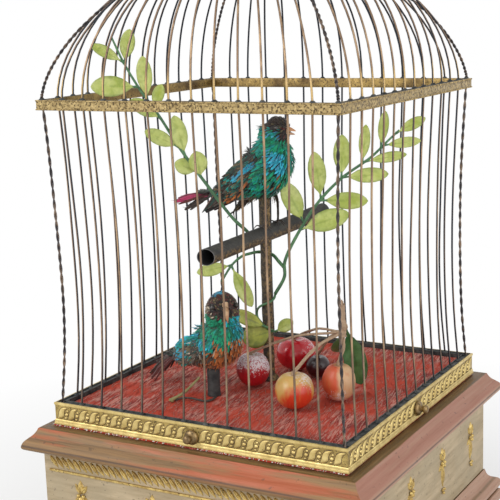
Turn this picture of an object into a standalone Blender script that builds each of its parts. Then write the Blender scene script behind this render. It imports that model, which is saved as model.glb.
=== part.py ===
"""Singing bird automaton: a square wire cage on a giltwood base, two birds on a tree, and the
clockwork, bellows and whistle in the base.

Run with: blender --background --python part.py
Lengths are written in millimetres and multiplied by MM, so the model is in metres.
Z is up, the table is at Z = 0, the cage's axis is the Z axis and the front faces -Y.
"""

from math import asin, atan2, cos, degrees, hypot, pi, radians, sin

import bmesh
import bpy
from mathutils import Matrix, Vector

MM = 0.001

# Driving dimensions of the cage, in millimetres
CAGE_HALF = 118.0          # axis to the outer face of the gallery strip
WIRE_D = 2.0               # straight brass wire
WIRES_PER_SIDE = 12
WIRE_SMOOTH = 0            # bevel resolution: 0 is a square wire, 1 a six-sided one
POST_WIRE_D = 1.9          # one wire of a twisted corner post
POST_TWIST = 16.0          # length of one full twist
POST_STEPS = 4             # sections in a twist
WALL_POINTS = (0.20, 0.60)           # where a wire bends between strip and band
DOME_LIFTS = (0.25, 0.50, 0.75, 1.0)  # and over the dome, as shares of a quarter turn
WALL_H = 220.0             # top of the gallery strip to the top of the shoulder band
WAIST = 4.0                # how far the wires draw in between strip and band
DOME_H = 96.0              # band top to where the wires meet the crown
CROWN_R = 28.0
GALLERY_H = 16.5
SCREW_R = 1.5
SCREW_L = 13.5
RING_R = 9.0               # ring on the finial
SIDES = ("front", "right", "back", "left")
STRIP_T = 0.65
RAIL_W = 5.4
RAIL_H = 6.0
BAND_H = 7.2

# Driving dimensions of the base
FOOT_H = 13.7
PLINTH_H = 27.7
FRIEZE_H = 61.7
CORNICE_H = 20.0
FRIEZE_HALF = CAGE_HALF + 7.3
BASE_HALF = CAGE_HALF + 19.0     # nose of the cornice and of the plinth
TOP_FLAT_HALF = CAGE_HALF + 9.3  # outer edge of the cornice's flat top
WOOD_T = 10.0
BOARD_T = 8.0
DECK_T = 8.0
GAP = 0.3                  # between pieces that touch
STRIP_LIFT = 1.5           # gallery strip above the cornice, where the cloth shows

# Tree and birds
TREE_X, TREE_Y = -4.4, 2.0
TREE_R = 4.2
TREE_BORE_R = 2.4
ROD_R = 1.0
PERCH_R = 6.3
PERCH_BORE_R = 5.4
PERCH_Z = 113.9            # perch axis above the floor
PERCH_FRONT = 70.0         # tree to the perch's front end, along the perch
PERCH_BACK = 78.0
PERCH_SWING = 8.3          # degrees, how far the perch points left of the front
PERCH_RISE = 4.3           # degrees, how much it climbs to the back
TREE_H = 145.0             # floor to the post's top, in the upper bird's socket
STUMP_X, STUMP_Y = -23.2, -49.6
STUMP_R = 4.8
STUMP_H = 25.0             # floor to the stump's top, in the lower bird's socket
LOWER_TURN = -11.0         # degrees, heading of the lower bird from +X
LOWER_HEAD_TURN = -40.0    # degrees, its head from its body
BEAK_GAPE = 24.0           # degrees, how far the beaks open
JAW_DROP = 1.4             # beak hinge below the upper beak's edge
LEG_R = 0.8
SPRAY_TURN = 29.0          # degrees in plan, the way the sprays fan out
SPRAY_KNOTS = 16
STALK_R = 1.3

# Fruit: place in X and Y, half width, half height, colour
FRUIT = {
    "frosted_plum": (-6.0, -20.5, 12.8, 14.4, "fruit_red"),
    "red_plum": (3.5, 31.6, 15.2, 14.0, "fruit_red"),
    "blush_apple": (47.0, -54.6, 13.8, 14.6, "fruit_yellow"),
    "peach": (68.4, -26.2, 12.0, 15.4, "fruit_yellow"),
    "dark_cherry": (29.0, 19.0, 9.5, 9.5, "fruit_red"),
}
FRUIT_TOP = (71.0, -24.0)  # where the fruit stems meet
FRUIT_RINGS = 7
STEM_R = 0.9

# Movement
PLATE_T = 2.5
PLATE_LOW_Z = 30.0
PLATE_HIGH_Z = 84.0
ARBOR_R = 2.5
BARREL_X, BARREL_Y = -34.0, -2.0
BARREL_R = 20.0
GREAT_TEETH = 24
GREAT_MODULE = 2.0
PINION_TEETH = 8
INTER_TEETH = 24
INTER_MODULE = 1.6
INTER_ANGLE = 100.0        # degrees, from the barrel to the intermediate arbor
FLY_ANGLE = 20.0
WHEEL_T = 2.5
CAM_R = 14.0
CAM_RISE = 4.0
HEAD_CAM_R = 12.0          # the heads turn both ways, so their lever stands off its cam
CAM_T = 2.4
CAM_STEP = 3.6
CAM_WAVES = (3, 5, 2, 4)   # rises round each cam, from the bottom

VANE_R = 11.0
INTER_Z = 64.0
PIVOT_X, PIVOT_Y = 20.0, 26.0
PIVOT_R = 2.0
KEY_R = 4.0
LEVER_X, LEVER_Y = -(FRIEZE_HALF - 23.3), 32.0
LEVER_T = 1.6

# Heights that follow
PLINTH_BOTTOM = FOOT_H + GAP
PLINTH_TOP = PLINTH_BOTTOM + PLINTH_H
FRIEZE_BOTTOM = PLINTH_TOP + GAP
FRIEZE_TOP = FRIEZE_BOTTOM + FRIEZE_H
CORNICE_BOTTOM = FRIEZE_TOP + GAP
CORNICE_TOP = CORNICE_BOTTOM + CORNICE_H
STRIP_TOP = CORNICE_TOP + STRIP_LIFT + GALLERY_H
BAND_TOP = STRIP_TOP + WALL_H
CROWN_Z = BAND_TOP + DOME_H
RAIL_OUT = CAGE_HALF - STRIP_T - GAP
RAIL_IN = RAIL_OUT - RAIL_W
WIRE_HALF = RAIL_OUT - RAIL_W / 2
FLOOR_Z = STRIP_TOP - 3.0
BOARD_TOP = PLINTH_BOTTOM + BOARD_T
MAT_T = 1.5
CAM_LOW_Z = PLATE_HIGH_Z + PLATE_T + 2.0
BOARD_BOTTOM = PLINTH_BOTTOM + 2.0 + GAP
FOOT_AT = BASE_HALF - 18.5
LEVER_Z = CAM_LOW_Z + 9.0
SCREW_Z = STRIP_TOP - 9.4
GREAT_Z = PLATE_LOW_Z + PLATE_T + 3.0

# Places that follow
RIGHTWARD = Vector((cos(radians(SPRAY_TURN)), sin(radians(SPRAY_TURN)), 0))
TOWARD = Vector((sin(radians(SPRAY_TURN)), -cos(radians(SPRAY_TURN)), 0))
GREAT_REACH = (GREAT_TEETH + PINION_TEETH) * GREAT_MODULE / 2
INTER_REACH = (INTER_TEETH + PINION_TEETH) * INTER_MODULE / 2
CAM_X, CAM_Y = BARREL_X + GREAT_REACH, BARREL_Y
INTER_X = BARREL_X + GREAT_REACH * cos(radians(INTER_ANGLE))
INTER_Y = BARREL_Y + GREAT_REACH * sin(radians(INTER_ANGLE))
FLY_X = INTER_X + INTER_REACH * cos(radians(FLY_ANGLE))
FLY_Y = INTER_Y + INTER_REACH * sin(radians(FLY_ANGLE))
# The plates reach past the wheels, with room for the pillars
PLATE_BOX = (BARREL_X - 32.0, BARREL_Y - 34.0, CAM_X + 28.0, INTER_Y + 22.48615)

COLOURS = {
    "giltwood": ((0.55, 0.36, 0.12), 0.45, 0.6),
    "gilt_brass": ((0.72, 0.52, 0.20), 0.35, 1.0),
    "dark_brass": ((0.10, 0.10, 0.09), 0.55, 0.8),
    "wire_brass": ((0.42, 0.28, 0.16), 0.4, 1.0),
    "red_mat": ((0.45, 0.05, 0.03), 0.95, 0.0),
    "plain_wood": ((0.30, 0.19, 0.10), 0.7, 0.0),
    "bark_paper": ((0.09, 0.08, 0.07), 0.8, 0.0),
    "leaf_green": ((0.35, 0.42, 0.08), 0.5, 0.0),
    "dark_leaf": ((0.02, 0.10, 0.03), 0.45, 0.0),
    "fruit_red": ((0.40, 0.02, 0.03), 0.35, 0.0),
    "fruit_yellow": ((0.65, 0.32, 0.10), 0.4, 0.0),
    "feather_green": ((0.01, 0.18, 0.16), 0.6, 0.0),
    "feather_dark": ((0.04, 0.03, 0.03), 0.7, 0.0),
    "beak_horn": ((0.55, 0.30, 0.16), 0.5, 0.0),
    "steel": ((0.35, 0.36, 0.38), 0.35, 1.0),
    "movement_brass": ((0.66, 0.50, 0.22), 0.3, 1.0),
    "leather": ((0.40, 0.28, 0.18), 0.8, 0.0),
}


def clear_scene():
    for old in list(bpy.data.objects):
        bpy.data.objects.remove(old, do_unlink=True)


def new_collection(name):
    made = bpy.data.collections.new(name)
    bpy.context.scene.collection.children.link(made)
    return made


def material(name):
    found = bpy.data.materials.get(name)
    if found:
        return found
    colour, roughness, metallic = COLOURS[name]
    made = bpy.data.materials.new(name)
    made.use_nodes = True
    shader = made.node_tree.nodes["Principled BSDF"]
    shader.inputs["Base Color"].default_value = (*colour, 1.0)
    shader.inputs["Roughness"].default_value = roughness
    shader.inputs["Metallic"].default_value = metallic
    return made


def place(name, data, finish):
    made = bpy.data.objects.new(name, data)
    data.materials.append(material(finish))
    PARTS.objects.link(made)
    return made


def mesh_from(name, bm, finish):
    bmesh.ops.recalc_face_normals(bm, faces=bm.faces)
    data = bpy.data.meshes.new(name)
    bm.to_mesh(data)
    bm.free()
    return place(name, data, finish)


def smooth(piece, angle=40):
    piece.data.shade_smooth()
    piece.data.set_sharp_from_angle(angle=radians(angle))
    return piece


def baked(piece):
    """The object with its modifiers, or its curve, turned into a welded mesh."""
    bpy.context.view_layer.update()
    graph = bpy.context.evaluated_depsgraph_get()
    data = bpy.data.meshes.new_from_object(piece.evaluated_get(graph))
    bm = bmesh.new()
    bm.from_mesh(data)
    bm.transform(piece.matrix_world)
    bmesh.ops.remove_doubles(bm, verts=bm.verts, dist=0.000002)
    bmesh.ops.recalc_face_normals(bm, faces=bm.faces)
    bm.to_mesh(data)
    bm.free()
    name = piece.name
    bpy.data.objects.remove(piece, do_unlink=True)
    data.name = name
    made = bpy.data.objects.new(name, data)
    PARTS.objects.link(made)
    return made


def combine(piece, others, operation):
    """Boolean of a piece with others, which are used up."""
    name = piece.name
    for other in others:
        step = piece.modifiers.new(operation.title(), "BOOLEAN")
        step.operation = operation
        step.solver = "EXACT"
        step.object = other
    made = baked(piece)
    for other in others:
        bpy.data.objects.remove(other, do_unlink=True)
    made.name = name
    return made


def join(piece, *others):
    return combine(piece, others, "UNION")


def cut(piece, *others):
    return combine(piece, others, "DIFFERENCE")


def box(name, low, high, finish):
    bm = bmesh.new()
    bmesh.ops.create_cube(bm, size=1.0)
    size = [(b - a) * MM for a, b in zip(low, high)]
    middle = Vector([(a + b) / 2 * MM for a, b in zip(low, high)])
    bm.transform(Matrix.Translation(middle) @ Matrix.Diagonal((*size, 1.0)))
    return mesh_from(name, bm, finish)


def rod(name, start, end, radius, finish, sides=16, radius_end=None):
    start, end = Vector(start) * MM, Vector(end) * MM
    along = end - start
    bm = bmesh.new()
    bmesh.ops.create_cone(
        bm, cap_ends=True, segments=sides, radius1=radius * MM,
        radius2=(radius if radius_end is None else radius_end) * MM, depth=along.length,
    )
    turn = Vector((0, 0, 1)).rotation_difference(along).to_matrix().to_4x4()
    bm.transform(Matrix.Translation((start + end) / 2) @ turn)
    return smooth(mesh_from(name, bm, finish))


def turned(name, profile, finish, steps=24, at=(0, 0, 0), closed=True, turn=None):
    """A profile of (radius, height) points, listed down its outer side, turned about Z."""
    data = bpy.data.meshes.new(name)
    points = [(r * MM, 0.0, z * MM) for r, z in profile]
    edges = [(i, i + 1) for i in range(len(points) - 1)]
    if closed:
        edges.append((len(points) - 1, 0))
    data.from_pydata(points, edges, [])
    made = place(name, data, finish)
    made.location = Vector(at) * MM
    if turn:
        made.rotation_euler = turn
    screw = made.modifiers.new("Turn", "SCREW")
    screw.steps = steps
    screw.render_steps = steps
    screw.use_merge_vertices = True
    screw.merge_threshold = 0.00001
    screw.use_smooth_shade = steps > 4
    return made


def square_ring(name, profile, finish):
    """A profile of (distance from the axis, height) points run round a square, mitred."""
    wide = [(half * 2 ** 0.5, z) for half, z in profile]
    return turned(name, wide, finish, steps=4, turn=(0, 0, pi / 4))


def tube(name, runs, radius, finish, resolution=1, ring=False):
    """One wire for each list of points."""
    data = bpy.data.curves.new(name, "CURVE")
    data.dimensions = "3D"
    data.bevel_depth = radius * MM
    data.bevel_resolution = resolution
    data.use_fill_caps = True
    for run in runs:
        spline = data.splines.new("POLY")
        spline.points.add(len(run) - 1)
        for point, at in zip(spline.points, run):
            point.co = (*(Vector(at) * MM), 1.0)
        spline.use_cyclic_u = ring
    return baked(place(name, data, finish))


def plate(name, outlines, low, high, finish):
    """Flat outlines in X and Y, inner ones as holes, between two heights."""
    data = bpy.data.curves.new(name, "CURVE")
    data.dimensions = "2D"
    data.fill_mode = "BOTH"
    data.extrude = (high - low) / 2 * MM
    for outline in outlines:
        spline = data.splines.new("POLY")
        spline.points.add(len(outline) - 1)
        for point, (x, y) in zip(spline.points, outline):
            point.co = (x * MM, y * MM, 0.0, 1.0)
        spline.use_cyclic_u = True
    made = place(name, data, finish)
    made.location = (0, 0, (low + high) / 2 * MM)
    return baked(made)


def pivot_on(name, at):
    """Puts a moving piece's origin on its joint axis, with the shape left where it is."""
    piece = bpy.data.objects[name]
    piece.data.transform(Matrix.Translation(-Vector(at) * MM))
    piece.location = Vector(at) * MM


def circle(x, y, radius, count=16):
    return [(x + radius * cos(2 * pi * k / count), y + radius * sin(2 * pi * k / count))
            for k in range(count)]


def loft(name, rings, finish):
    """A closed skin through rings of points, each ring with as many points."""
    bm = bmesh.new()
    rows = [[bm.verts.new(Vector(p) * MM) for p in ring] for ring in rings]
    count = len(rings[0])
    for low, high in zip(rows, rows[1:]):
        for k in range(count):
            after = (k + 1) % count
            bm.faces.new((low[k], low[after], high[after], high[k]))
    bm.faces.new(rows[0])
    bm.faces.new(list(reversed(rows[-1])))
    return mesh_from(name, bm, finish)


def oval(centre, side, up, wide, tall, count=12, turn=0.0):
    """Points round an ellipse whose axes run along side and up."""
    centre, side, up = Vector(centre), Vector(side), Vector(up)
    return [centre + side * wide * cos(2 * pi * k / count + turn)
            + up * tall * sin(2 * pi * k / count + turn) for k in range(count)]


def smooth_path(points, count):
    """Points at even parameters on a Catmull-Rom curve through the given ones."""
    held = [Vector(p) for p in points]
    held = [2 * held[0] - held[1]] + held + [2 * held[-1] - held[-2]]
    spans = len(held) - 3
    out = []
    for k in range(count):
        place_on = spans * k / (count - 1)
        i = min(int(place_on), spans - 1)
        t = place_on - i
        a, b, c, d = held[i:i + 4]
        out.append(0.5 * (2 * b + (c - a) * t + (2 * a - 5 * b + 4 * c - d) * t * t
                          + (3 * b - a - 3 * c + d) * t ** 3))
    return out


def side_holes():
    """Cutters for the screws in the middle of each side."""
    near, far = CAGE_HALF - SCREW_L - 1, CAGE_HALF + 10
    return [rod("hole", (near * x, near * y, SCREW_Z), (far * x, far * y, SCREW_Z),
                SCREW_R + 2 * GAP, "steel", 6) for x, y in ((1, 0), (0, 1), (-1, 0), (0, -1))]


# Base

def make_base():
    under = CORNICE_BOTTOM
    top = CORNICE_TOP
    ledge = top - DECK_T - GAP
    square_ring("base_cornice", [
        (WIRE_HALF - 2.0, top), (TOP_FLAT_HALF, top), (TOP_FLAT_HALF + 0.3, top - 0.8),
        (TOP_FLAT_HALF + 1.2, top - 2.6), (TOP_FLAT_HALF + 3.0, top - 5.0),
        (TOP_FLAT_HALF + 5.6, top - 7.2), (TOP_FLAT_HALF + 8.2, top - 9.6),
        (BASE_HALF - 0.3, top - 12.0), (BASE_HALF, top - 13.6), (BASE_HALF - 0.8, top - 15.2),
        (BASE_HALF - 3.0, top - 16.4), (BASE_HALF - 6.6, top - 17.2),
        (FRIEZE_HALF + 2.4, top - 18.2), (FRIEZE_HALF + 1.0, under),
        (FRIEZE_HALF - WOOD_T - 10, under), (FRIEZE_HALF - WOOD_T - 10, ledge),
        (WIRE_HALF - 2.0, ledge),
    ], "giltwood")
    frieze = square_ring("frieze_case", [
        (FRIEZE_HALF - WOOD_T, FRIEZE_TOP), (FRIEZE_HALF, FRIEZE_TOP),
        (FRIEZE_HALF, FRIEZE_BOTTOM), (FRIEZE_HALF - WOOD_T, FRIEZE_BOTTOM),
    ], "giltwood")
    slot = box("slot", (-FRIEZE_HALF - 5, LEVER_Y - 14, LEVER_Z - 3.2),
               (-FRIEZE_HALF + WOOD_T + 5, LEVER_Y + 14, LEVER_Z + 3.2), "giltwood")
    frieze = cut(frieze, slot)
    wall = -FRIEZE_HALF + WOOD_T
    block = box("block", (wall - 2, LEVER_Y - 8, LEVER_Z - 12),
                (LEVER_X + 6, LEVER_Y + 8, LEVER_Z - LEVER_T / 2 - GAP), "plain_wood")
    stud = rod("stud", (LEVER_X, LEVER_Y, LEVER_Z - 6), (LEVER_X, LEVER_Y, LEVER_Z + 2.2),
               2.0, "steel", 10)
    join(frieze, block, stud)
    low, high = PLINTH_BOTTOM, PLINTH_TOP
    square_ring("base_plinth", [
        (FRIEZE_HALF - WOOD_T, high), (FRIEZE_HALF + 1.0, high),
        (FRIEZE_HALF + 1.6, high - 2.0), (FRIEZE_HALF + 2.8, high - 5.0),
        (FRIEZE_HALF + 5.6, high - 7.6), (BASE_HALF - 2.4, high - 9.0),
        (BASE_HALF - 0.6, high - 11.0), (BASE_HALF, high - 13.6),
        (BASE_HALF - 0.6, high - 16.0), (BASE_HALF - 2.6, high - 17.6),
        (BASE_HALF - 2.6, high - 18.6), (BASE_HALF, high - 19.2), (BASE_HALF, low),
        (FRIEZE_HALF - WOOD_T - 6, low), (FRIEZE_HALF - WOOD_T - 6, low + 2.0),
        (FRIEZE_HALF - WOOD_T, low + 2.0),
    ], "giltwood")
    inside = FRIEZE_HALF - WOOD_T - GAP
    board = box("bottom_board", (-inside, -inside, BOARD_BOTTOM),
                (inside, inside, BOARD_BOTTOM + BOARD_T), "plain_wood")
    key_hole = rod("key_hole", (BARREL_X, BARREL_Y, 0), (BARREL_X, BARREL_Y, 40),
                   KEY_R + GAP, "steel")
    cut(board, key_hole)
    for x in (-1, 1):
        for y in (-1, 1):
            name = "foot_" + ("front" if y < 0 else "back") + ("_left" if x < 0 else "_right")
            turned(name, [
                (0, FOOT_H), (13.0, FOOT_H), (13.4, FOOT_H - 1.6), (17.0, FOOT_H - 5.4),
                (16.4, FOOT_H - 9.4), (13.2, 0), (0, 0),
            ], "giltwood", at=(x * FOOT_AT, y * FOOT_AT, 0), closed=False, steps=14)
    half = WIRE_HALF - 2.0 - GAP
    step = RAIL_IN - MAT_T - 2 * GAP
    deck = square_ring("deck_board", [
        (0, FLOOR_Z - MAT_T - GAP), (step, FLOOR_Z - MAT_T - GAP), (step, CORNICE_TOP),
        (half, CORNICE_TOP), (half, CORNICE_TOP - DECK_T), (0, CORNICE_TOP - DECK_T),
    ], "plain_wood")
    deck.modifiers["Turn"].merge_threshold = 0.00001
    mat_half = RAIL_IN - GAP
    hem = CORNICE_TOP + GAP
    mat = square_ring("floor_mat", [
        (0, FLOOR_Z), (mat_half, FLOOR_Z), (mat_half, hem + 0.8), (CAGE_HALF + 1.4, hem + 0.8),
        (CAGE_HALF + 1.6, hem), (mat_half - MAT_T, hem), (mat_half - MAT_T, FLOOR_Z - MAT_T),
        (0, FLOOR_Z - MAT_T),
    ], "red_mat")
    for piece in (deck, mat):
        holes = [rod("hole", (x, y, 60), (x, y, 200), ROD_R + 2 * GAP, "steel", 8)
                 for x, y in ((TREE_X, TREE_Y), (STUMP_X, STUMP_Y))]
        cut(piece, *holes, *side_holes())


# Cage

def half_at(z):
    """Axis to wire centre at a height between gallery strip and band."""
    share = min(max((z - STRIP_TOP) / WALL_H, 0.0), 1.0)
    return WIRE_HALF - WAIST * sin(pi * share ** 0.8)


def dome_point(foot, crown_angle, lift):
    """A point on a wire that rises from its foot on the band and curves in to the crown."""
    reach = hypot(foot.x, foot.y)
    corner = min(abs(foot.x), abs(foot.y)) / max(abs(foot.x), abs(foot.y))
    power = 2.0 / (2.3 - 0.7 * corner ** 2)
    turn = lift * pi / 2
    radius = CROWN_R + (reach - CROWN_R) * cos(turn) ** power if lift < 1 else CROWN_R
    start = atan2(foot.y, foot.x)
    swing = (crown_angle - start + pi) % (2 * pi) - pi
    angle = start + swing * (1 - (radius - CROWN_R) / (reach - CROWN_R))
    height = BAND_TOP + DOME_H * sin(turn) ** power
    return Vector((radius * cos(angle), radius * sin(angle), height))


def cage_wire(side, place_on, low, wall_heights, lifts):
    """Points of one cage wire: side 0 is the front, place_on runs from -1 to 1 along it."""
    spin = Matrix.Rotation(side * pi / 2, 3, "Z")
    run = []
    for z in [low] + wall_heights + [BAND_TOP]:
        half = half_at(z)
        run.append(spin @ Vector((place_on * half, -half, z)))
    foot = run[-1]
    slots = 4 * (WIRES_PER_SIDE + 1)
    index = (place_on + 1) / 2 * (WIRES_PER_SIDE + 1)
    crown_angle = radians(-135 + 90 * side) + 2 * pi * index / slots
    run += [dome_point(foot, crown_angle, lift) for lift in lifts]
    return run


def twisted_post(name, corner, finish="wire_brass"):
    """Two wires twisted together, as one two-lobed section that turns as it climbs."""
    heights = [STRIP_TOP + WALL_H * k / 8 for k in range(1, 8)]
    coarse = cage_wire(corner, -1, STRIP_TOP - RAIL_H + 1, heights, [k / 8 for k in range(1, 9)])
    length = sum((b - a).length for a, b in zip(coarse, coarse[1:]))
    steps = int(length / (POST_TWIST / POST_STEPS))
    path = smooth_path(coarse, steps + 1)
    rings = []
    for k, at in enumerate(path):
        before, after = path[max(k - 1, 0)], path[min(k + 1, steps)]
        along = (after - before).normalized()
        side = Vector((-at.y, at.x, 0)).normalized()
        up = along.cross(side).normalized()
        rings.append(oval(at, side, up, 1, 1, 4, 2 * pi * k / POST_STEPS))
        for j, point in enumerate(rings[-1]):
            reach = POST_WIRE_D if j % 2 == 0 else POST_WIRE_D * 0.52
            rings[-1][j] = at + (point - at) * reach
    return loft(name, rings, finish)


def make_cage():
    heights = [STRIP_TOP + WALL_H * share for share in WALL_POINTS]
    low = STRIP_TOP - RAIL_H + 1.0
    for side, word in enumerate(SIDES):
        long_rail = side % 2 == 0
        end = RAIL_OUT if long_rail else RAIL_IN - GAP
        rail = box(word + "_wire_panel", (-end, -RAIL_OUT, STRIP_TOP - RAIL_H),
                   (end, -RAIL_IN, STRIP_TOP), "wire_brass")
        rail.matrix_world = Matrix.Rotation(side * pi / 2, 4, "Z")
        rail = baked(rail)
        runs = []
        for k in range(WIRES_PER_SIDE):
            place_on = -1 + 2 * (k + 1) / (WIRES_PER_SIDE + 1)
            runs.append(cage_wire(side, place_on, low, heights, DOME_LIFTS))
        grown = [tube("wires", runs, WIRE_D / 2, "wire_brass", WIRE_SMOOTH)]
        if long_rail:
            grown += [twisted_post("post", side), twisted_post("post", side + 1)]
        join(rail, *grown)
    top, low = STRIP_TOP, STRIP_TOP - GALLERY_H
    strip = square_ring("gallery_strip", [
        (CAGE_HALF - STRIP_T, top), (CAGE_HALF, top), (CAGE_HALF, low + 1.5),
        (CAGE_HALF + 0.8, low + 1.1), (CAGE_HALF + 0.8, low), (CAGE_HALF - STRIP_T, low),
    ], "gilt_brass")
    screw_z = SCREW_Z
    cut(strip, *side_holes())
    for side, word in enumerate(SIDES):
        face = CAGE_HALF + GAP
        profile = [(0, 8.6), (1.6, 8.3), (3.0, 7.0), (3.2, 5.6), (2.2, 4.4), (2.2, 3.4),
                   (4.4, 3.0), (5.4, 2.2), (5.4, 0), (SCREW_R, 0), (SCREW_R, -SCREW_L),
                   (0, -SCREW_L)]
        knob = turned(word + "_cage_screw", profile, "gilt_brass", steps=8, closed=False)
        spin = Matrix.Rotation(side * pi / 2, 4, "Z")
        lie = Matrix.Rotation(pi / 2, 4, "X")
        knob.matrix_world = spin @ Matrix.Translation((0, -face * MM, screw_z * MM)) @ lie
    band_low = BAND_TOP - BAND_H
    out = WIRE_HALF + POST_WIRE_D + GAP
    square_ring("band_outer_strip", [
        (out, BAND_TOP), (out + 0.8, BAND_TOP), (out + 0.8, band_low), (out, band_low),
    ], "gilt_brass")
    inner = WIRE_HALF - POST_WIRE_D
    square_ring("band_inner_strip", [
        (inner - 0.8, BAND_TOP), (inner, BAND_TOP), (inner, band_low), (inner - 0.8, band_low),
    ], "gilt_brass")
    turned("crown_cap", [
        (0, CROWN_Z + 4.6), (9.0, CROWN_Z + 4.4), (17.0, CROWN_Z + 3.0), (23.0, CROWN_Z + 1.6),
        (CROWN_R - 1.6, CROWN_Z + 1.2), (CROWN_R - GAP, CROWN_Z + 0.6),
        (CROWN_R - GAP, CROWN_Z - 1.4), (CROWN_R - 2.0, CROWN_Z - 2.0), (0, CROWN_Z - 2.0),
    ], "gilt_brass", steps=16, closed=False)
    base = CROWN_Z + 4.6 + GAP
    finial = turned("finial", [
        (0, base + 26), (2.6, base + 25.4), (3.6, base + 23.0), (2.8, base + 20.6),
        (3.2, base + 19.4), (7.0, base + 16.0), (8.2, base + 12.4), (6.4, base + 8.6),
        (3.4, base + 6.2), (3.2, base + 4.6), (6.0, base + 3.0), (7.4, base + 1.4),
        (7.4, base), (0, base),
    ], "gilt_brass", steps=12, closed=False)
    ring_z = base + 26 + RING_R - 1.2
    ring = tube("ring", [[(RING_R * cos(2 * pi * k / 16), 0, ring_z + RING_R * sin(2 * pi * k / 16))
                          for k in range(16)]], 1.6, "gilt_brass", 1, ring=True)
    join(baked(finial), ring)


# Tree, fruit and foliage

def leaf(name, base, tip, normal, width, finish="leaf_green", thick=0.9):
    """A pointed oval leaf from base to tip, folded a little along its midrib."""
    base, tip = Vector(base), Vector(tip)
    along = tip - base
    normal = (Vector(normal) - Vector(normal).project(along)).normalized()
    side = along.normalized().cross(normal)
    rings = []
    for share, spread in ((0.0, 0.10), (0.20, 0.34), (0.42, 0.94), (0.74, 0.84), (1.0, 0.06)):
        at = base + along * share
        half = width / 2 * spread
        lift = normal * half * 0.22
        rings.append([at - side * half + lift, at + normal * thick * 0.5,
                      at + side * half + lift, at - normal * thick * 0.5])
    return loft(name, rings, finish)


def spray(name, stems, leaves):
    """Stems along their points with leaves, each (stem, knot, rightward, upward, length, width)."""
    body = tube(name, stems[:1], STALK_R, "leaf_green", 0)
    grown = [tube("stem", [run], STALK_R, "leaf_green", 0) for run in stems[1:]]
    for stem, knot, right, up, length, width in leaves:
        at = Vector(stems[stem][knot])
        way = (RIGHTWARD * right + Vector((0, 0, up)) + TOWARD * 0.08).normalized()
        grown.append(leaf("leaf", at, at + way * length, TOWARD + Vector((0, 0, 0.25)), width))
    return join(body, *grown)


def tree_point(angle, out, height):
    """A point out from the tree at an angle in plan, at a height above the floor.

    Beyond the post the crown spreads with the cage's width.
    """
    if out > 25:
        out *= CAGE_HALF / 118.0
    return (TREE_X + out * cos(radians(angle)), TREE_Y + out * sin(radians(angle)),
            FLOOR_Z + height)


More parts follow.
